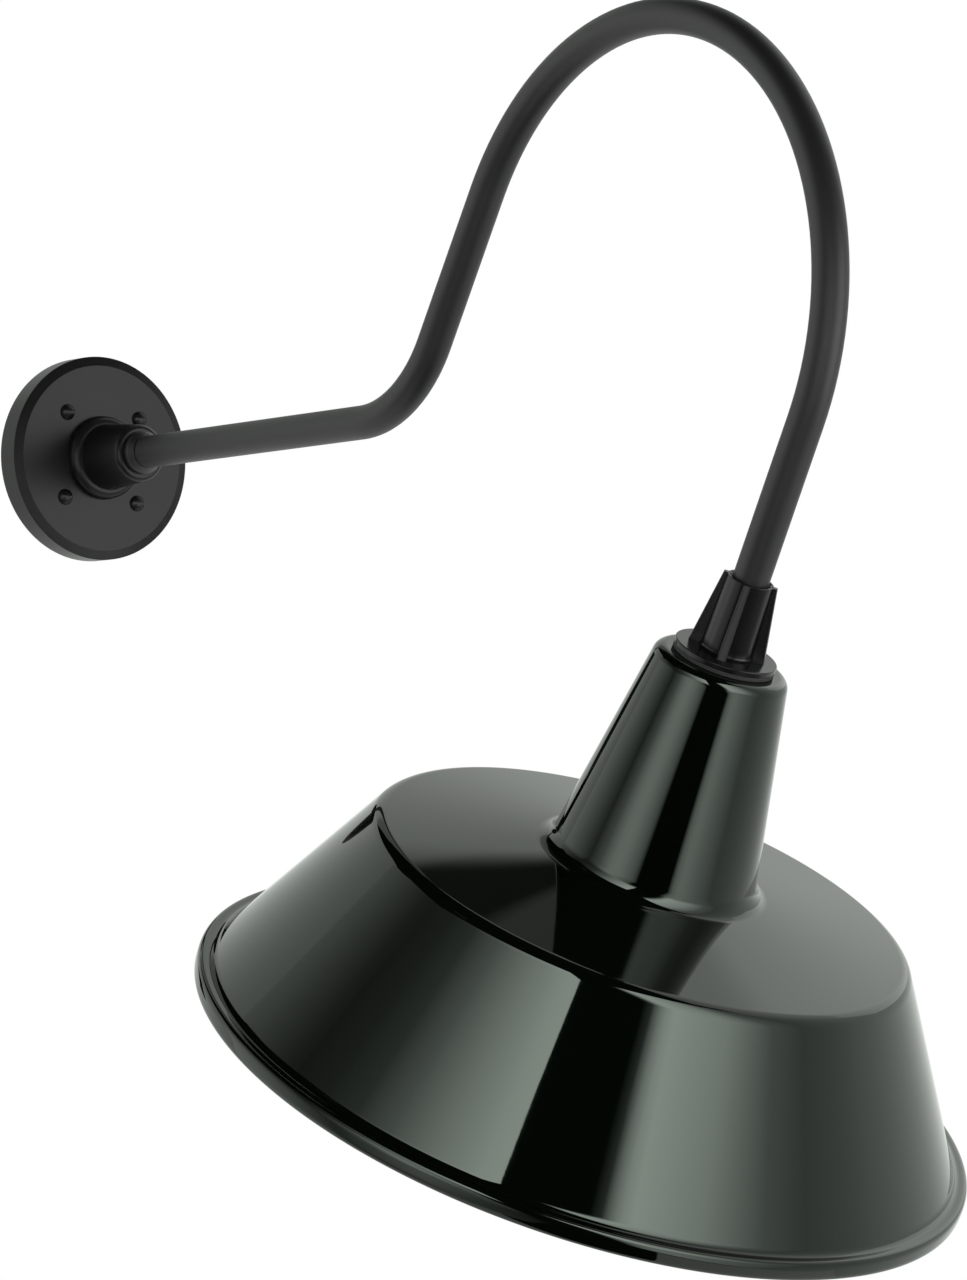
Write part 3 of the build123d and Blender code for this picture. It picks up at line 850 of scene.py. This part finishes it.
@dataclass
class Arm:
    """Bent tube arm with its leads. Sizes are in millimetres and degrees."""

    radius: float = 9.525
    wall: float = 1.65
    seat: float = 26.2
    wall_to_bend: float = 282.0
    rising_radius: float = 76.2
    rising_angle: float = 60.0
    rising_straight: float = 90.5
    loop_radius: float = 152.4
    loop_angle: float = 177.5
    drop: float = 116.2
    rising_steps: int = 20
    loop_steps: int = 72
    sides: int = 56

    def build(self) -> None:
        """Models the tube and dresses what lies in it."""
        self._tube()
        Bench.dress_nodes(Finishes.BLACK_PLASTIC, "tube_end_bushes", "live_lead")
        Bench.dress_nodes(Finishes.BRAID, "lead_sleeve")
        Bench.dress_nodes(Finishes.WHITE_PLASTIC, "neutral_lead")

    def _draw(self, length: float, angle: float) -> None:
        """Draws the end ring on along a straight.

        Args:
            length: Length of the straight.
            angle: Its angle above level.
        """
        reach = length * MM
        way = (0, reach * math.sin(math.radians(angle)), reach * math.cos(math.radians(angle)))
        bpy.ops.mesh.extrude_region_move(TRANSFORM_OT_translate={"value": way})

    def _bend(self, centre: Station, angle: float, steps: int) -> None:
        """Swings the end ring round a bend.

        Args:
            centre: Distance from the wall and height of the bend's centre.
            angle: Angle of the bend, positive for a rise.
            steps: Steps along the bend.
        """
        middle = (0, centre[1] * MM, centre[0] * MM)
        bpy.ops.mesh.spin(steps=steps, angle=math.radians(angle), center=middle, axis=(1, 0, 0))

    def _tube(self) -> None:
        """Draws a ring along the straights and swings it round the bends."""
        rise = math.radians(self.rising_angle)
        bend_out = self.wall_to_bend + self.rising_radius * math.sin(rise)
        bend_up = self.rising_radius * (1 - math.cos(rise))
        loop_out = bend_out + self.rising_straight * math.cos(rise) + self.loop_radius * math.sin(rise)
        loop_up = bend_up + self.rising_straight * math.sin(rise) - self.loop_radius * math.cos(rise)
        tube = Bench.ring("arm_tube_bent", self.radius, self.seat, self.sides)
        self._draw(self.wall_to_bend - self.seat, 0)
        self._bend((self.wall_to_bend, self.rising_radius), self.rising_angle, self.rising_steps)
        self._draw(self.rising_straight, self.rising_angle)
        self._bend((loop_out, loop_up), -self.loop_angle, self.loop_steps)
        self._draw(self.drop, self.rising_angle - self.loop_angle)
        Bench.close(tube)
        Bench.thicken(tube, self.wall)
        Bench.complete(tube, Place.WALL, Body.ARM, Finishes.TUBE_PAINT, "arm_tube")


@dataclass
class Fitter:
    """Ribbed fitter with its gasket and ring nut, in the head's frame. Sizes are in millimetres."""

    tube_socket: float = 9.575
    mouth_gap: float = 1.7
    mouth_chamfer: float = 2.0
    barrel_top: float = 12.275
    barrel_foot: float = 13.975
    barrel_foot_round: float = 1.6
    mouth_round: float = 0.35
    flange_round: float = 0.6
    flange_under_round: float = 0.3
    flange_top: float = 39.5
    flange_under: float = 42.5
    flange_radius: float = 26.975
    spigot_radius: float = 18.0
    spigot_end: float = 54.1
    spigot_hole: float = 5.5
    socket_depth: float = 30.0
    set_screw_radius: float = 2.5
    set_screw_heights: tuple[float, float] = (9.0, 16.5)
    set_screw_reach: float = 20.0
    rib_count: int = 4
    rib_root: float = 10.775
    rib_rise_top: float = 2.0
    rib_rise_bottom: float = 6.2
    rib_width_top: float = 3.3
    rib_width_bottom: float = 4.7
    rib_sink: float = 0.2
    rib_edge: float = 0.8
    rib_edge_steps: int = 4
    gasket_inner: float = 18.4
    gasket_outer: float = 26.775
    gasket_under: float = 44.9
    gasket_top_round: float = 0.4
    gasket_under_round: float = 0.6
    sides: int = 120

    def build(self) -> None:
        """Models and dresses the fitter, the gasket and the ring nut."""
        self._casting()
        self._gasket()
        Bench.dress_nodes(Finishes.STEEL, "fitter_set_screws", "shade_lock_ring")

    def _casting(self) -> None:
        """Turns the barrel and flange, drills them and adds the ribs."""
        corners = [
            (self.tube_socket + self.mouth_gap, 0, 0),
            (self.barrel_top, 0, self.mouth_round),
            (self.barrel_foot, self.flange_top, self.barrel_foot_round),
            (self.flange_radius, self.flange_top, self.flange_round),
            (self.flange_radius, self.flange_under, self.flange_under_round),
            (self.spigot_radius, self.flange_under, 0),
            (self.spigot_radius, self.spigot_end, 0),
            (self.spigot_hole, self.spigot_end, 0),
            (self.spigot_hole, self.socket_depth, 0),
            (self.tube_socket, self.socket_depth, 0),
            (self.tube_socket, self.mouth_chamfer, 0),
            (self.tube_socket + self.mouth_gap, 0, 0),
        ]
        casting = Bench.turned("fitter_barrel", Outline.rounded(corners, steps=6, guard=0.12), self.sides)
        for height in self.set_screw_heights:
            Bench.drill(casting, self.set_screw_radius, self.tube_socket, self.set_screw_reach, height)
        share = math.tau / self.rib_count
        moves = [Matrix.Rotation(share * (index + 0.5), 4, "Z") for index in range(self.rib_count)]
        fitter = Bench.merge([casting, *Bench.repeat(self._rib(), moves)], "fitter_casting")
        Bench.complete(fitter, Place.HEAD, Body.HEAD, Finishes.FITTER_PAINT, "fitter")

    def _rib(self) -> Piece:
        """Models one tapered rib from a block, with its outer edges rounded.

        Returns:
            The rib, on the +X side.
        """
        top_reach = self.barrel_top + self.rib_rise_top - self.rib_root
        foot_tip = self.barrel_foot + self.rib_rise_bottom
        half = self.rib_width_bottom / 2
        low = Vector((self.rib_root, -half, 0))
        rib = Bench.block("fitter_rib", low, Vector((foot_tip, half, self.flange_top + self.rib_sink)))
        Bench.pick(rib, lambda ends: all(end.z < Bench.NOTHING * MM for end in ends))
        taper = (top_reach / (foot_tip - self.rib_root), self.rib_width_top / self.rib_width_bottom, 1)
        bpy.ops.transform.resize(value=taper, center_override=(self.rib_root * MM, 0, 0))
        outer = (self.rib_root + top_reach / 2) * MM
        upright = self.flange_top / 2 * MM
        Bench.pick(rib, lambda ends: min(end.x for end in ends) > outer
                   and abs(ends[0].z - ends[1].z) > upright)
        bpy.ops.mesh.bevel(offset=self.rib_edge * MM, segments=self.rib_edge_steps, affect="EDGES")
        bpy.ops.mesh.select_all(action="SELECT")
        bpy.ops.mesh.normals_make_consistent(inside=False)
        bpy.ops.object.mode_set(mode="OBJECT")
        return rib

    def _gasket(self) -> None:
        """Turns the rubber ring under the flange."""
        corners = [
            (self.gasket_inner, self.flange_under, 0),
            (self.gasket_outer, self.flange_under, self.gasket_top_round),
            (self.gasket_outer, self.gasket_under, self.gasket_under_round),
            (self.gasket_inner, self.gasket_under, 0),
            (self.gasket_inner, self.flange_under, 0),
        ]
        gasket = Bench.turned("shade_gasket_ring", Outline.rounded(corners, steps=5, guard=0.1), self.sides)
        Bench.complete(gasket, Place.HEAD, Body.HEAD, Finishes.RUBBER, "shade_gasket")


@dataclass
class Shade:
    """Spun shade, enamelled green outside and white inside. Sizes are in millimetres."""

    hole: float = 18.4
    neck_top: float = 44.9
    neck_radius: float = 34.975
    shoulder_level: float = 161.1
    neck_base: float = 55.1
    skirt_level: float = 174.0
    shoulder_radius: float = 143.3
    rim_level: float = 273.8
    skirt_radius: float = 201.05
    bead_centre: float = 204.595
    bead_radii: tuple[float, float] = (4.65, 5.2)
    bead_fullness: float = 3.6
    bead_turn: float = 262.0
    bead_steps: int = 60
    neck_top_round: float = 6.0
    neck_base_round: float = 10.0
    shoulder_round: float = 10.0
    rim_round: float = 5.7
    sheet: float = 1.2
    sides: int = 224

    def build(self) -> None:
        """Spins the shade from its outer line and gives it its sheet thickness."""
        corners = [
            (self.hole, self.neck_top, 0),
            (self.neck_radius, self.neck_top, self.neck_top_round),
            (self.neck_base, self.shoulder_level, self.neck_base_round),
            (self.shoulder_radius, self.skirt_level, self.shoulder_round),
            (self.skirt_radius, self.rim_level, self.rim_round),
            (self.bead_centre, self.rim_level, 0),
        ]
        line = Outline.rounded(corners, steps=12, guard=0.05)
        middle = (self.bead_centre, self.rim_level + self.bead_radii[1])
        span = (-90, self.bead_turn - 90)
        bead = Outline.arc(middle, self.bead_radii, span, self.bead_steps, self.bead_fullness)
        shade = Bench.turned("shade_spun", line[:-1] + bead, self.sides)
        for finish in (Finishes.GREEN_ENAMEL, Finishes.WHITE_ENAMEL):
            shade.data.materials.append(finish.material())
        Bench.thicken(shade, self.sheet, inside_slot=1)
        Bench.complete(shade, Place.HEAD, Body.HEAD, Finishes.GREEN_ENAMEL, "shade", angle=40)


@dataclass
class Lampholder:
    """Porcelain lampholder, in the head's frame. Sizes are in millimetres."""

    top: float = 54.1
    lead_hole: float = 4.5
    lead_hole_end: float = 62.1
    top_radius: float = 18.5
    flare_start: float = 66.1
    flare_end: float = 70.1
    radius: float = 20.45
    mouth: float = 100.1
    bore: float = 14.25
    chamfer: float = 1.4
    end_round: float = 1.5
    flare_round: float = 1.0
    mouth_round: float = 0.5
    contact_hole: float = 1.9
    sides: int = 96

    def build(self) -> None:
        """Turns the porcelain and dresses the metal pieces in it."""
        corners = [
            (self.lead_hole, self.top, 0),
            (self.top_radius, self.top, self.end_round),
            (self.top_radius, self.flare_start, self.flare_round),
            (self.radius, self.flare_end, self.flare_round),
            (self.radius, self.mouth, self.end_round),
            (self.bore + self.chamfer, self.mouth, self.mouth_round),
            (self.bore, self.mouth - self.chamfer, 0),
            (self.bore, self.flare_end, 0),
            (self.contact_hole, self.flare_end, 0),
            (self.contact_hole, self.lead_hole_end, 0),
            (self.lead_hole, self.lead_hole_end, 0),
            (self.lead_hole, self.top, 0),
        ]
        body = Bench.turned("lampholder_porcelain", Outline.rounded(corners, steps=6, guard=0.1), self.sides)
        Bench.complete(body, Place.HEAD, Body.HEAD, Finishes.PORCELAIN, "lampholder_body")
        Bench.dress_nodes(Finishes.BRASS, "lampholder_shell", "lampholder_contact")
        Bench.dress_nodes(Finishes.STEEL, "lampholder_screws")


@dataclass
class Lamp:
    """Lamp with a screw cap, in the head's frame. Sizes are in millimetres.

    The globe's last ring, next to its closing point, has its angle in degrees from the outward direction.
    """

    cap_radius: float = 12.95
    cap_level: float = 78.2
    cap_end: float = 102.2
    cap_wall: float = 0.9
    cap_edge: float = 0.3
    cap_gap: float = 0.02
    thread_pitch: float = 3.63
    thread_depth: float = 0.9
    thread_turns: int = 5
    thread_steps: int = 8
    collar_length: float = 4.0
    globe: float = 30.0
    globe_level: float = 150.7
    neck: float = 11.7
    neck_in_cap: float = 5.0
    sweep_level: float = 106.2
    sweep_radius: float = 33.25
    bulb_wall: float = 0.9
    last_ring: float = 88.0
    sweep_steps: int = 14
    globe_steps: int = 30
    bulb_sides: int = 96
    cap_sides: int = 72

    def build(self) -> None:
        """Models the bulb and the cap, and dresses the small pieces of the lamp."""
        self._bulb()
        self._cap()
        Bench.dress_nodes(Finishes.SOLDER, "lamp_tip")
        Bench.dress_nodes(Finishes.BLACK_GLASS, "lamp_insulator")
        Bench.dress_nodes(Finishes.CLEAR_GLASS, "lamp_stem")
        Bench.dress_nodes(Finishes.TUNGSTEN, "lamp_filament")

    def _bulb(self) -> None:
        """Turns the glass bulb as a shell."""
        rise = self.globe_level - self.sweep_level
        centre = self.neck + self.sweep_radius
        lean = math.degrees(math.atan2(rise, centre))
        outline = [(self.neck, self.cap_end - self.neck_in_cap)]
        sweep = (self.sweep_radius, self.sweep_radius)
        outline += Outline.arc((centre, self.sweep_level), sweep, (180, 180 - lean), self.sweep_steps)
        globe = (self.globe, self.globe)
        rings = Outline.arc((0, self.globe_level), globe, (-lean, self.last_ring), self.globe_steps)
        outline += rings[1:]
        outline.append((0, self.globe_level + self.globe))
        bulb = Bench.turned("lamp_glass", outline, self.bulb_sides)
        Bench.thicken(bulb, self.bulb_wall)
        Bench.complete(bulb, Place.HEAD, Body.LAMP, Finishes.FROSTED, "lamp_bulb")

    def _cap(self) -> None:
        """Turns the screw cap with a rolled thread and a plain collar."""
        root = self.cap_radius - self.thread_depth
        collar = self.neck + self.cap_gap
        inner_end = self.cap_end - self.neck_in_cap
        outline = [(root - self.cap_wall, self.cap_level), (root, self.cap_level)]
        start = self.cap_level + self.thread_pitch / 4
        for step in range(self.thread_steps * self.thread_turns + 1):
            turns = step / self.thread_steps
            wave = (1 - math.cos(math.tau * turns)) / 2
            outline.append((root + self.thread_depth * wave, start + self.thread_pitch * turns))
        outline += [
            (collar + self.cap_wall, self.cap_end - self.collar_length),
            (collar + self.cap_wall, self.cap_end - self.cap_edge),
            (collar + self.cap_wall - self.cap_edge, self.cap_end),
            (collar, self.cap_end),
            (collar, inner_end),
            (root - self.cap_wall, inner_end),
            (root - self.cap_wall, self.cap_level),
        ]
        cap = Bench.turned("lamp_screw_cap", outline, self.cap_sides)
        Bench.complete(cap, Place.HEAD, Body.LAMP, Finishes.LAMP_CAP, "lamp_cap", angle=50)


@dataclass
class StudioCard:
    """Large flat card that gloss mirrors, facing the shade. Angles are in degrees, the distance in metres.

    The glow runs along the card as pairs of bearing and strength, in one row above the split and one below.
    A single row fills the card, and a card without rows is black.
    """

    name: str
    bearing: Span
    lift: Span
    distance: float
    upper: Row = ((0, 0),)
    lower: Row = ()
    split: float = 0.0
    blend: float = 8.0
    rig: Rig | None = None
    tint: ClassVar[Vector] = Vector((0.95, 1.0, 0.955))
    middle: ClassVar[Vector] = Vector((0, -0.53, -0.25))

    @staticmethod
    def _half(span: Span) -> float:
        """Gives half the reach of a span of angles on a card at a distance of 1."""
        return math.tan(math.radians(span[1] - span[0]) / 2)

    def build(self) -> None:
        """Makes the card, which shows only in gloss and through glass, and casts no shadow."""
        around = sum(self.bearing) / 2
        out = heading(around, sum(self.lift) / 2)
        across = heading(around + 90, 0)
        upright = out.cross(across)
        size = [self.distance * self._half(span) for span in (self.bearing, self.lift)]
        Bench.clear()
        bpy.ops.mesh.primitive_plane_add(size=2)
        card = bpy.context.object
        card.name = self.name
        turn = Matrix((across, upright, across.cross(upright))).transposed().to_4x4()
        turn.translation = self.middle + out * self.distance
        card.matrix_world = turn @ Matrix.Diagonal((*size, 1, 1))
        card.data.materials.append(self._glow())
        card.visible_camera = False
        card.visible_diffuse = False
        card.visible_shadow = False
        if self.rig:
            card.light_linking.receiver_collection = self.rig.receivers()

    def _ramp(self, sketch: Sketch, along: Node, row: Row, peak: float) -> bpy.types.NodeSocket:
        """Builds one row of the glow as a colour ramp.

        Args:
            sketch: Sketch of the card's material.
            along: Node that runs from 0 to 1 along the card.
            row: Bearing and strength pairs.
            peak: Strength at which the ramp is white.

        Returns:
            The ramp's colour.
        """
        ramp = sketch.node("ValToRGB", {"Fac": along.outputs["Result"]})
        stops = ramp.color_ramp.elements
        stops.remove(stops[-1])
        for index, (bearing, strength) in enumerate(row):
            side = math.tan(math.radians(bearing - sum(self.bearing) / 2)) / self._half(self.bearing)
            spot = min(max((1 + side) / 2, 0), 1)
            stop = stops.new(spot) if index else stops[0]
            stop.position = spot
            stop.color = (*(self.tint * strength / peak), 1)
        return ramp.outputs["Color"]

    def _glow(self) -> bpy.types.Material:
        """Builds the card's glowing material.

        Returns:
            The material.
        """
        made = bpy.data.materials.new(self.name)
        sketch = Sketch.blank(made)
        lower = self.lower or self.upper
        peak = max(strength for _, strength in self.upper + lower) or 1
        above = self.split - sum(self.lift) / 2
        low, high = (math.tan(math.radians(above + way * self.blend)) for way in (-1, 1))
        tall = self._half(self.lift)
        where = sketch.node("TexCoord").outputs["Object"]
        parts = sketch.node("SeparateXYZ", {"Vector": where}).outputs
        along = sketch.node("MapRange", {"Value": parts["X"], "From Min": -1})
        heights = {"Value": parts["Y"], "From Min": low / tall, "From Max": high / tall}
        edge = sketch.node("MapRange", heights, interpolation_type="SMOOTHSTEP")
        mix = sketch.node("Mix", {
            "Factor": edge.outputs["Result"],
            sketch.MIX_A: self._ramp(sketch, along, lower, peak),
            sketch.MIX_B: self._ramp(sketch, along, self.upper, peak),
        }, data_type="RGBA")
        glow = sketch.node("Emission", {"Color": mix.outputs[sketch.MIX_RESULT], "Strength": peak})
        sketch.node("OutputMaterial", {"Surface": glow.outputs["Emission"]})
        return made


@dataclass
class SoftLamp:
    """Soft lamp that faces the light. Angles are in degrees round the light and lengths in metres."""

    name: str
    bearing: float
    lift: float
    distance: float
    size: tuple[float, float]
    glow: float
    rig: Rig | None = None
    middle: ClassVar[Vector] = Vector((0, -0.35, 0))

    def build(self) -> None:
        """Hangs the lamp. One of a rig shows in the gloss of the rig's pieces, and another shows in none."""
        out = heading(self.bearing, self.lift)
        lamp = bpy.data.lights.new(self.name, "AREA")
        lamp.shape = "RECTANGLE"
        lamp.size, lamp.size_y = self.size
        lamp.energy = self.glow * math.pi * self.size[0] * self.size[1]
        holder = bpy.data.objects.new(self.name, lamp)
        bpy.context.scene.collection.objects.link(holder)
        holder.location = self.middle + out * self.distance
        holder.rotation_mode = "QUATERNION"
        holder.rotation_quaternion = (-out).to_track_quat("-Z", "Y")
        if self.rig:
            holder.light_linking.receiver_collection = self.rig.receivers()
        else:
            holder.visible_glossy = False


@dataclass
class Studio:
    """White room, soft lamps, cards and camera. Lengths are in metres and angles in degrees."""

    floor_middle: tuple[float, float, float] = (0, -0.4, -0.78)
    floor_radius: float = 2.4
    floor_sides: int = 96
    floor_tone: float = 0.9
    floor_roughness: float = 0.9
    floor_glow: float = 0.28
    fill: float = 0.55
    lens: float = 144.4115
    camera_spot: tuple[float, float, float] = (-1.659115, -2.592967, -0.331277)
    camera_bearing: float = -37.0895
    camera_lift: float = -4.2478
    camera_roll: float = 1.2141

    def build(self) -> None:
        """Sets up the room, the lamps, the cards and the camera."""
        self._room()
        self._floor()
        for light in (*self._lamps(), *self._cards()):
            light.build()
        self._camera()
        bpy.context.scene.view_settings.view_transform = "Standard"

    def _room(self) -> None:
        """Makes the surroundings white to the eye, in gloss and through glass, and a soft fill otherwise."""
        world = bpy.data.worlds.new("white_room")
        bpy.context.scene.world = world
        sketch = Sketch.blank(world)
        ray = sketch.node("LightPath").outputs
        seen = sketch.node("Math", {0: ray["Is Camera Ray"], 1: ray["Is Glossy Ray"]}, operation="MAXIMUM")
        either = {0: seen.outputs["Value"], 1: ray["Is Transmission Ray"]}
        shown = sketch.node("Math", either, operation="MAXIMUM").outputs["Value"]
        soft = sketch.node("Background", {"Color": WHITE, "Strength": self.fill}).outputs["Background"]
        white = sketch.node("Background", {"Color": WHITE, "Strength": 1.0}).outputs["Background"]
        mix = sketch.node("MixShader", {"Fac": shown, 1: soft, 2: white})
        sketch.node("OutputWorld", {"Surface": mix.outputs["Shader"]})

    def _floor(self) -> None:
        """Lays a pale round floor well below the light, which is clear when it is seen from underneath."""
        Bench.clear()
        bpy.ops.mesh.primitive_circle_add(
            vertices=self.floor_sides, radius=self.floor_radius, fill_type="NGON")
        floor = bpy.context.object
        floor.name = "pale_floor"
        floor.location = self.floor_middle
        made = bpy.data.materials.new("pale_floor")
        sketch = Sketch.blank(made)
        ray = sketch.node("LightPath").outputs["Is Camera Ray"]
        glow = sketch.node("Math", {0: ray, 1: self.floor_glow}, operation="MULTIPLY")
        shader = sketch.node("BsdfPrincipled", {
            "Base Color": (*[self.floor_tone] * 3, 1),
            "Roughness": self.floor_roughness,
            "Emission Color": WHITE,
            "Emission Strength": glow.outputs["Value"],
        })
        side = sketch.node("NewGeometry").outputs["Backfacing"]
        clear = sketch.node("BsdfTransparent")
        mix = sketch.node("MixShader", {"Fac": side, 1: shader.outputs["BSDF"], 2: clear.outputs["BSDF"]})
        sketch.node("OutputMaterial", {"Surface": mix.outputs["Shader"]})
        floor.data.materials.append(made)
        floor.visible_glossy = False

    @staticmethod
    def _lamps() -> list[SoftLamp]:
        """Lists two lamps for everything, and three that light only the black paint and the rubber ring.

        Returns:
            The lamps.
        """
        return [
            SoftLamp("left_lamp", -60, 20, 3.0, (1.6, 2.0), 2.6),
            SoftLamp("right_lamp", 30, 14, 3.2, (1.6, 2.0), 3.0),
            SoftLamp("paint_front", -37, -8, 5.0, (5.0, 3.6), 1.7, Rig.PAINT),
            SoftLamp("paint_right", 28, -6, 4.0, (3.6, 3.4), 3.1, Rig.PAINT),
            SoftLamp("paint_left", -105, 5, 4.5, (4.0, 4.4), 0.9, Rig.PAINT),
        ]

    @staticmethod
    def _cards() -> list[StudioCard]:
        """Lists two soft boxes and a foot that only the shade mirrors, then cards for every gloss.

        Returns:
            The cards.
        """
        return [
            StudioCard(
                "left_softbox", (-111, -44.8), (-24, 43.8), 24.0,
                ((-111, 0.14), (-98, 0.24), (-87, 0.5), (-76, 1.5), (-61, 3.8), (-50, 5.6), (-45, 6.0)),
                ((-111, 0.34), (-98, 1.1), (-86, 2.85), (-79, 3.1), (-73, 2.8), (-66, 2.1), (-58, 1.2),
                 (-53, 0)),
                split=10, rig=Rig.ENAMEL,
            ),
            StudioCard(
                "left_foot", (-111, -50), (-46, -14), 27.0,
                ((-111, 0.34), (-98, 0.8), (-86, 1.3), (-58, 0.9), (-53, 0)),
                ((-111, 0.3), (-86, 0.7), (-53, 0)),
                split=-32, rig=Rig.ENAMEL,
            ),
            StudioCard(
                "right_softbox", (-23, 66), (-45, 55), 24.0,
                ((-20, 0), (-17, 0.4), (-14, 3.4), (-12, 5.0), (-9, 6.0), (9, 4.3), (27, 1.3), (40, 0.7),
                 (66, 0.95)),
                ((-22, 0), (-16, 2.0), (-9, 2.7), (-3, 2.6), (15, 1.6), (36, 0.72), (66, 0.85)),
                rig=Rig.ENAMEL,
            ),
            StudioCard(
                "left_flag", (-158, -102), (-35, 70), 34.0,
                ((-158, 0.95), (-140, 0.66), (-120, 0.2), (-110, 0.14)),
                ((-158, 1.25), (-140, 1.15), (-128, 0.88), (-112, 0.34)),
                split=26,
            ),
            StudioCard(
                "back_softbox", (88, 156), (14, 62), 26.0,
                ((88, 1.1), (115.4, 1.1), (118.8, 0.03), (128.8, 0.03), (129.8, 0.4)),
                ((88, 1.6), (112, 1.55), (130, 0.8), (156, 0.72)),
                split=49.5, blend=2.0,
            ),
            StudioCard(
                "right_wing", (60, 156), (-45, 55), 27.0,
                ((66, 0.95), (82, 0.95), (100, 0.9), (120, 1.0)), ((66, 0.85), (100, 0.9), (120, 1.0)),
            ),
            StudioCard(
                "back_patch", (118.2, 123.8), (53.2, 62), 25.5, ((118.2, 0.2), (122.7, 0.2), (123.8, 0.03)),
            ),
            StudioCard("left_wing", (152, 206), (-30, 60), 29.0, ((152, 0.85), (206, 0.9)), ((152, 0.9),)),
            StudioCard("dark_left", (-106, -60), (-43, 62), 40.0),
            StudioCard("dark_front", (-66, -12), (-80, 62), 40.0),
            StudioCard("dark_right", (-16, 44), (-46, 62), 40.0),
            StudioCard("dark_overhead", (-195, -105), (48, 66), 28.0),
            StudioCard("dark_zenith", (-132, -42), (58, 110), 28.0),
            StudioCard("dark_strip", (174.5, 183.5), (6, 19.5), 28.0),
        ]

    def _camera(self) -> None:
        """Stands the camera at the photograph's viewpoint."""
        back = heading(self.camera_bearing, self.camera_lift)
        level = heading(self.camera_bearing + 90, 0)
        upright = back.cross(level)
        roll = math.radians(self.camera_roll)
        right = level * math.cos(roll) + upright * math.sin(roll)
        top = upright * math.cos(roll) - level * math.sin(roll)
        lens = bpy.data.cameras.new("camera")
        lens.lens = self.lens
        camera = bpy.data.objects.new("camera", lens)
        bpy.context.scene.collection.objects.link(camera)
        stand = Matrix((right, top, back)).transposed().to_4x4()
        stand.translation = self.camera_spot
        camera.matrix_world = stand
        bpy.context.scene.camera = camera


def main() -> None:
    """Builds the light's sub-assemblies in order, then the studio."""
    logging.basicConfig(level=logging.INFO, format="%(message)s")
    SurfaceGroups.tone_drift()
    SurfaceGroups.coat_grain()
    for sub_assembly in (WallPlate(), Arm(), Fitter(), Shade(), Lampholder(), Lamp(), Studio()):
        sub_assembly.build()
    Bench.clear()


if __name__ == "__main__":
    main()
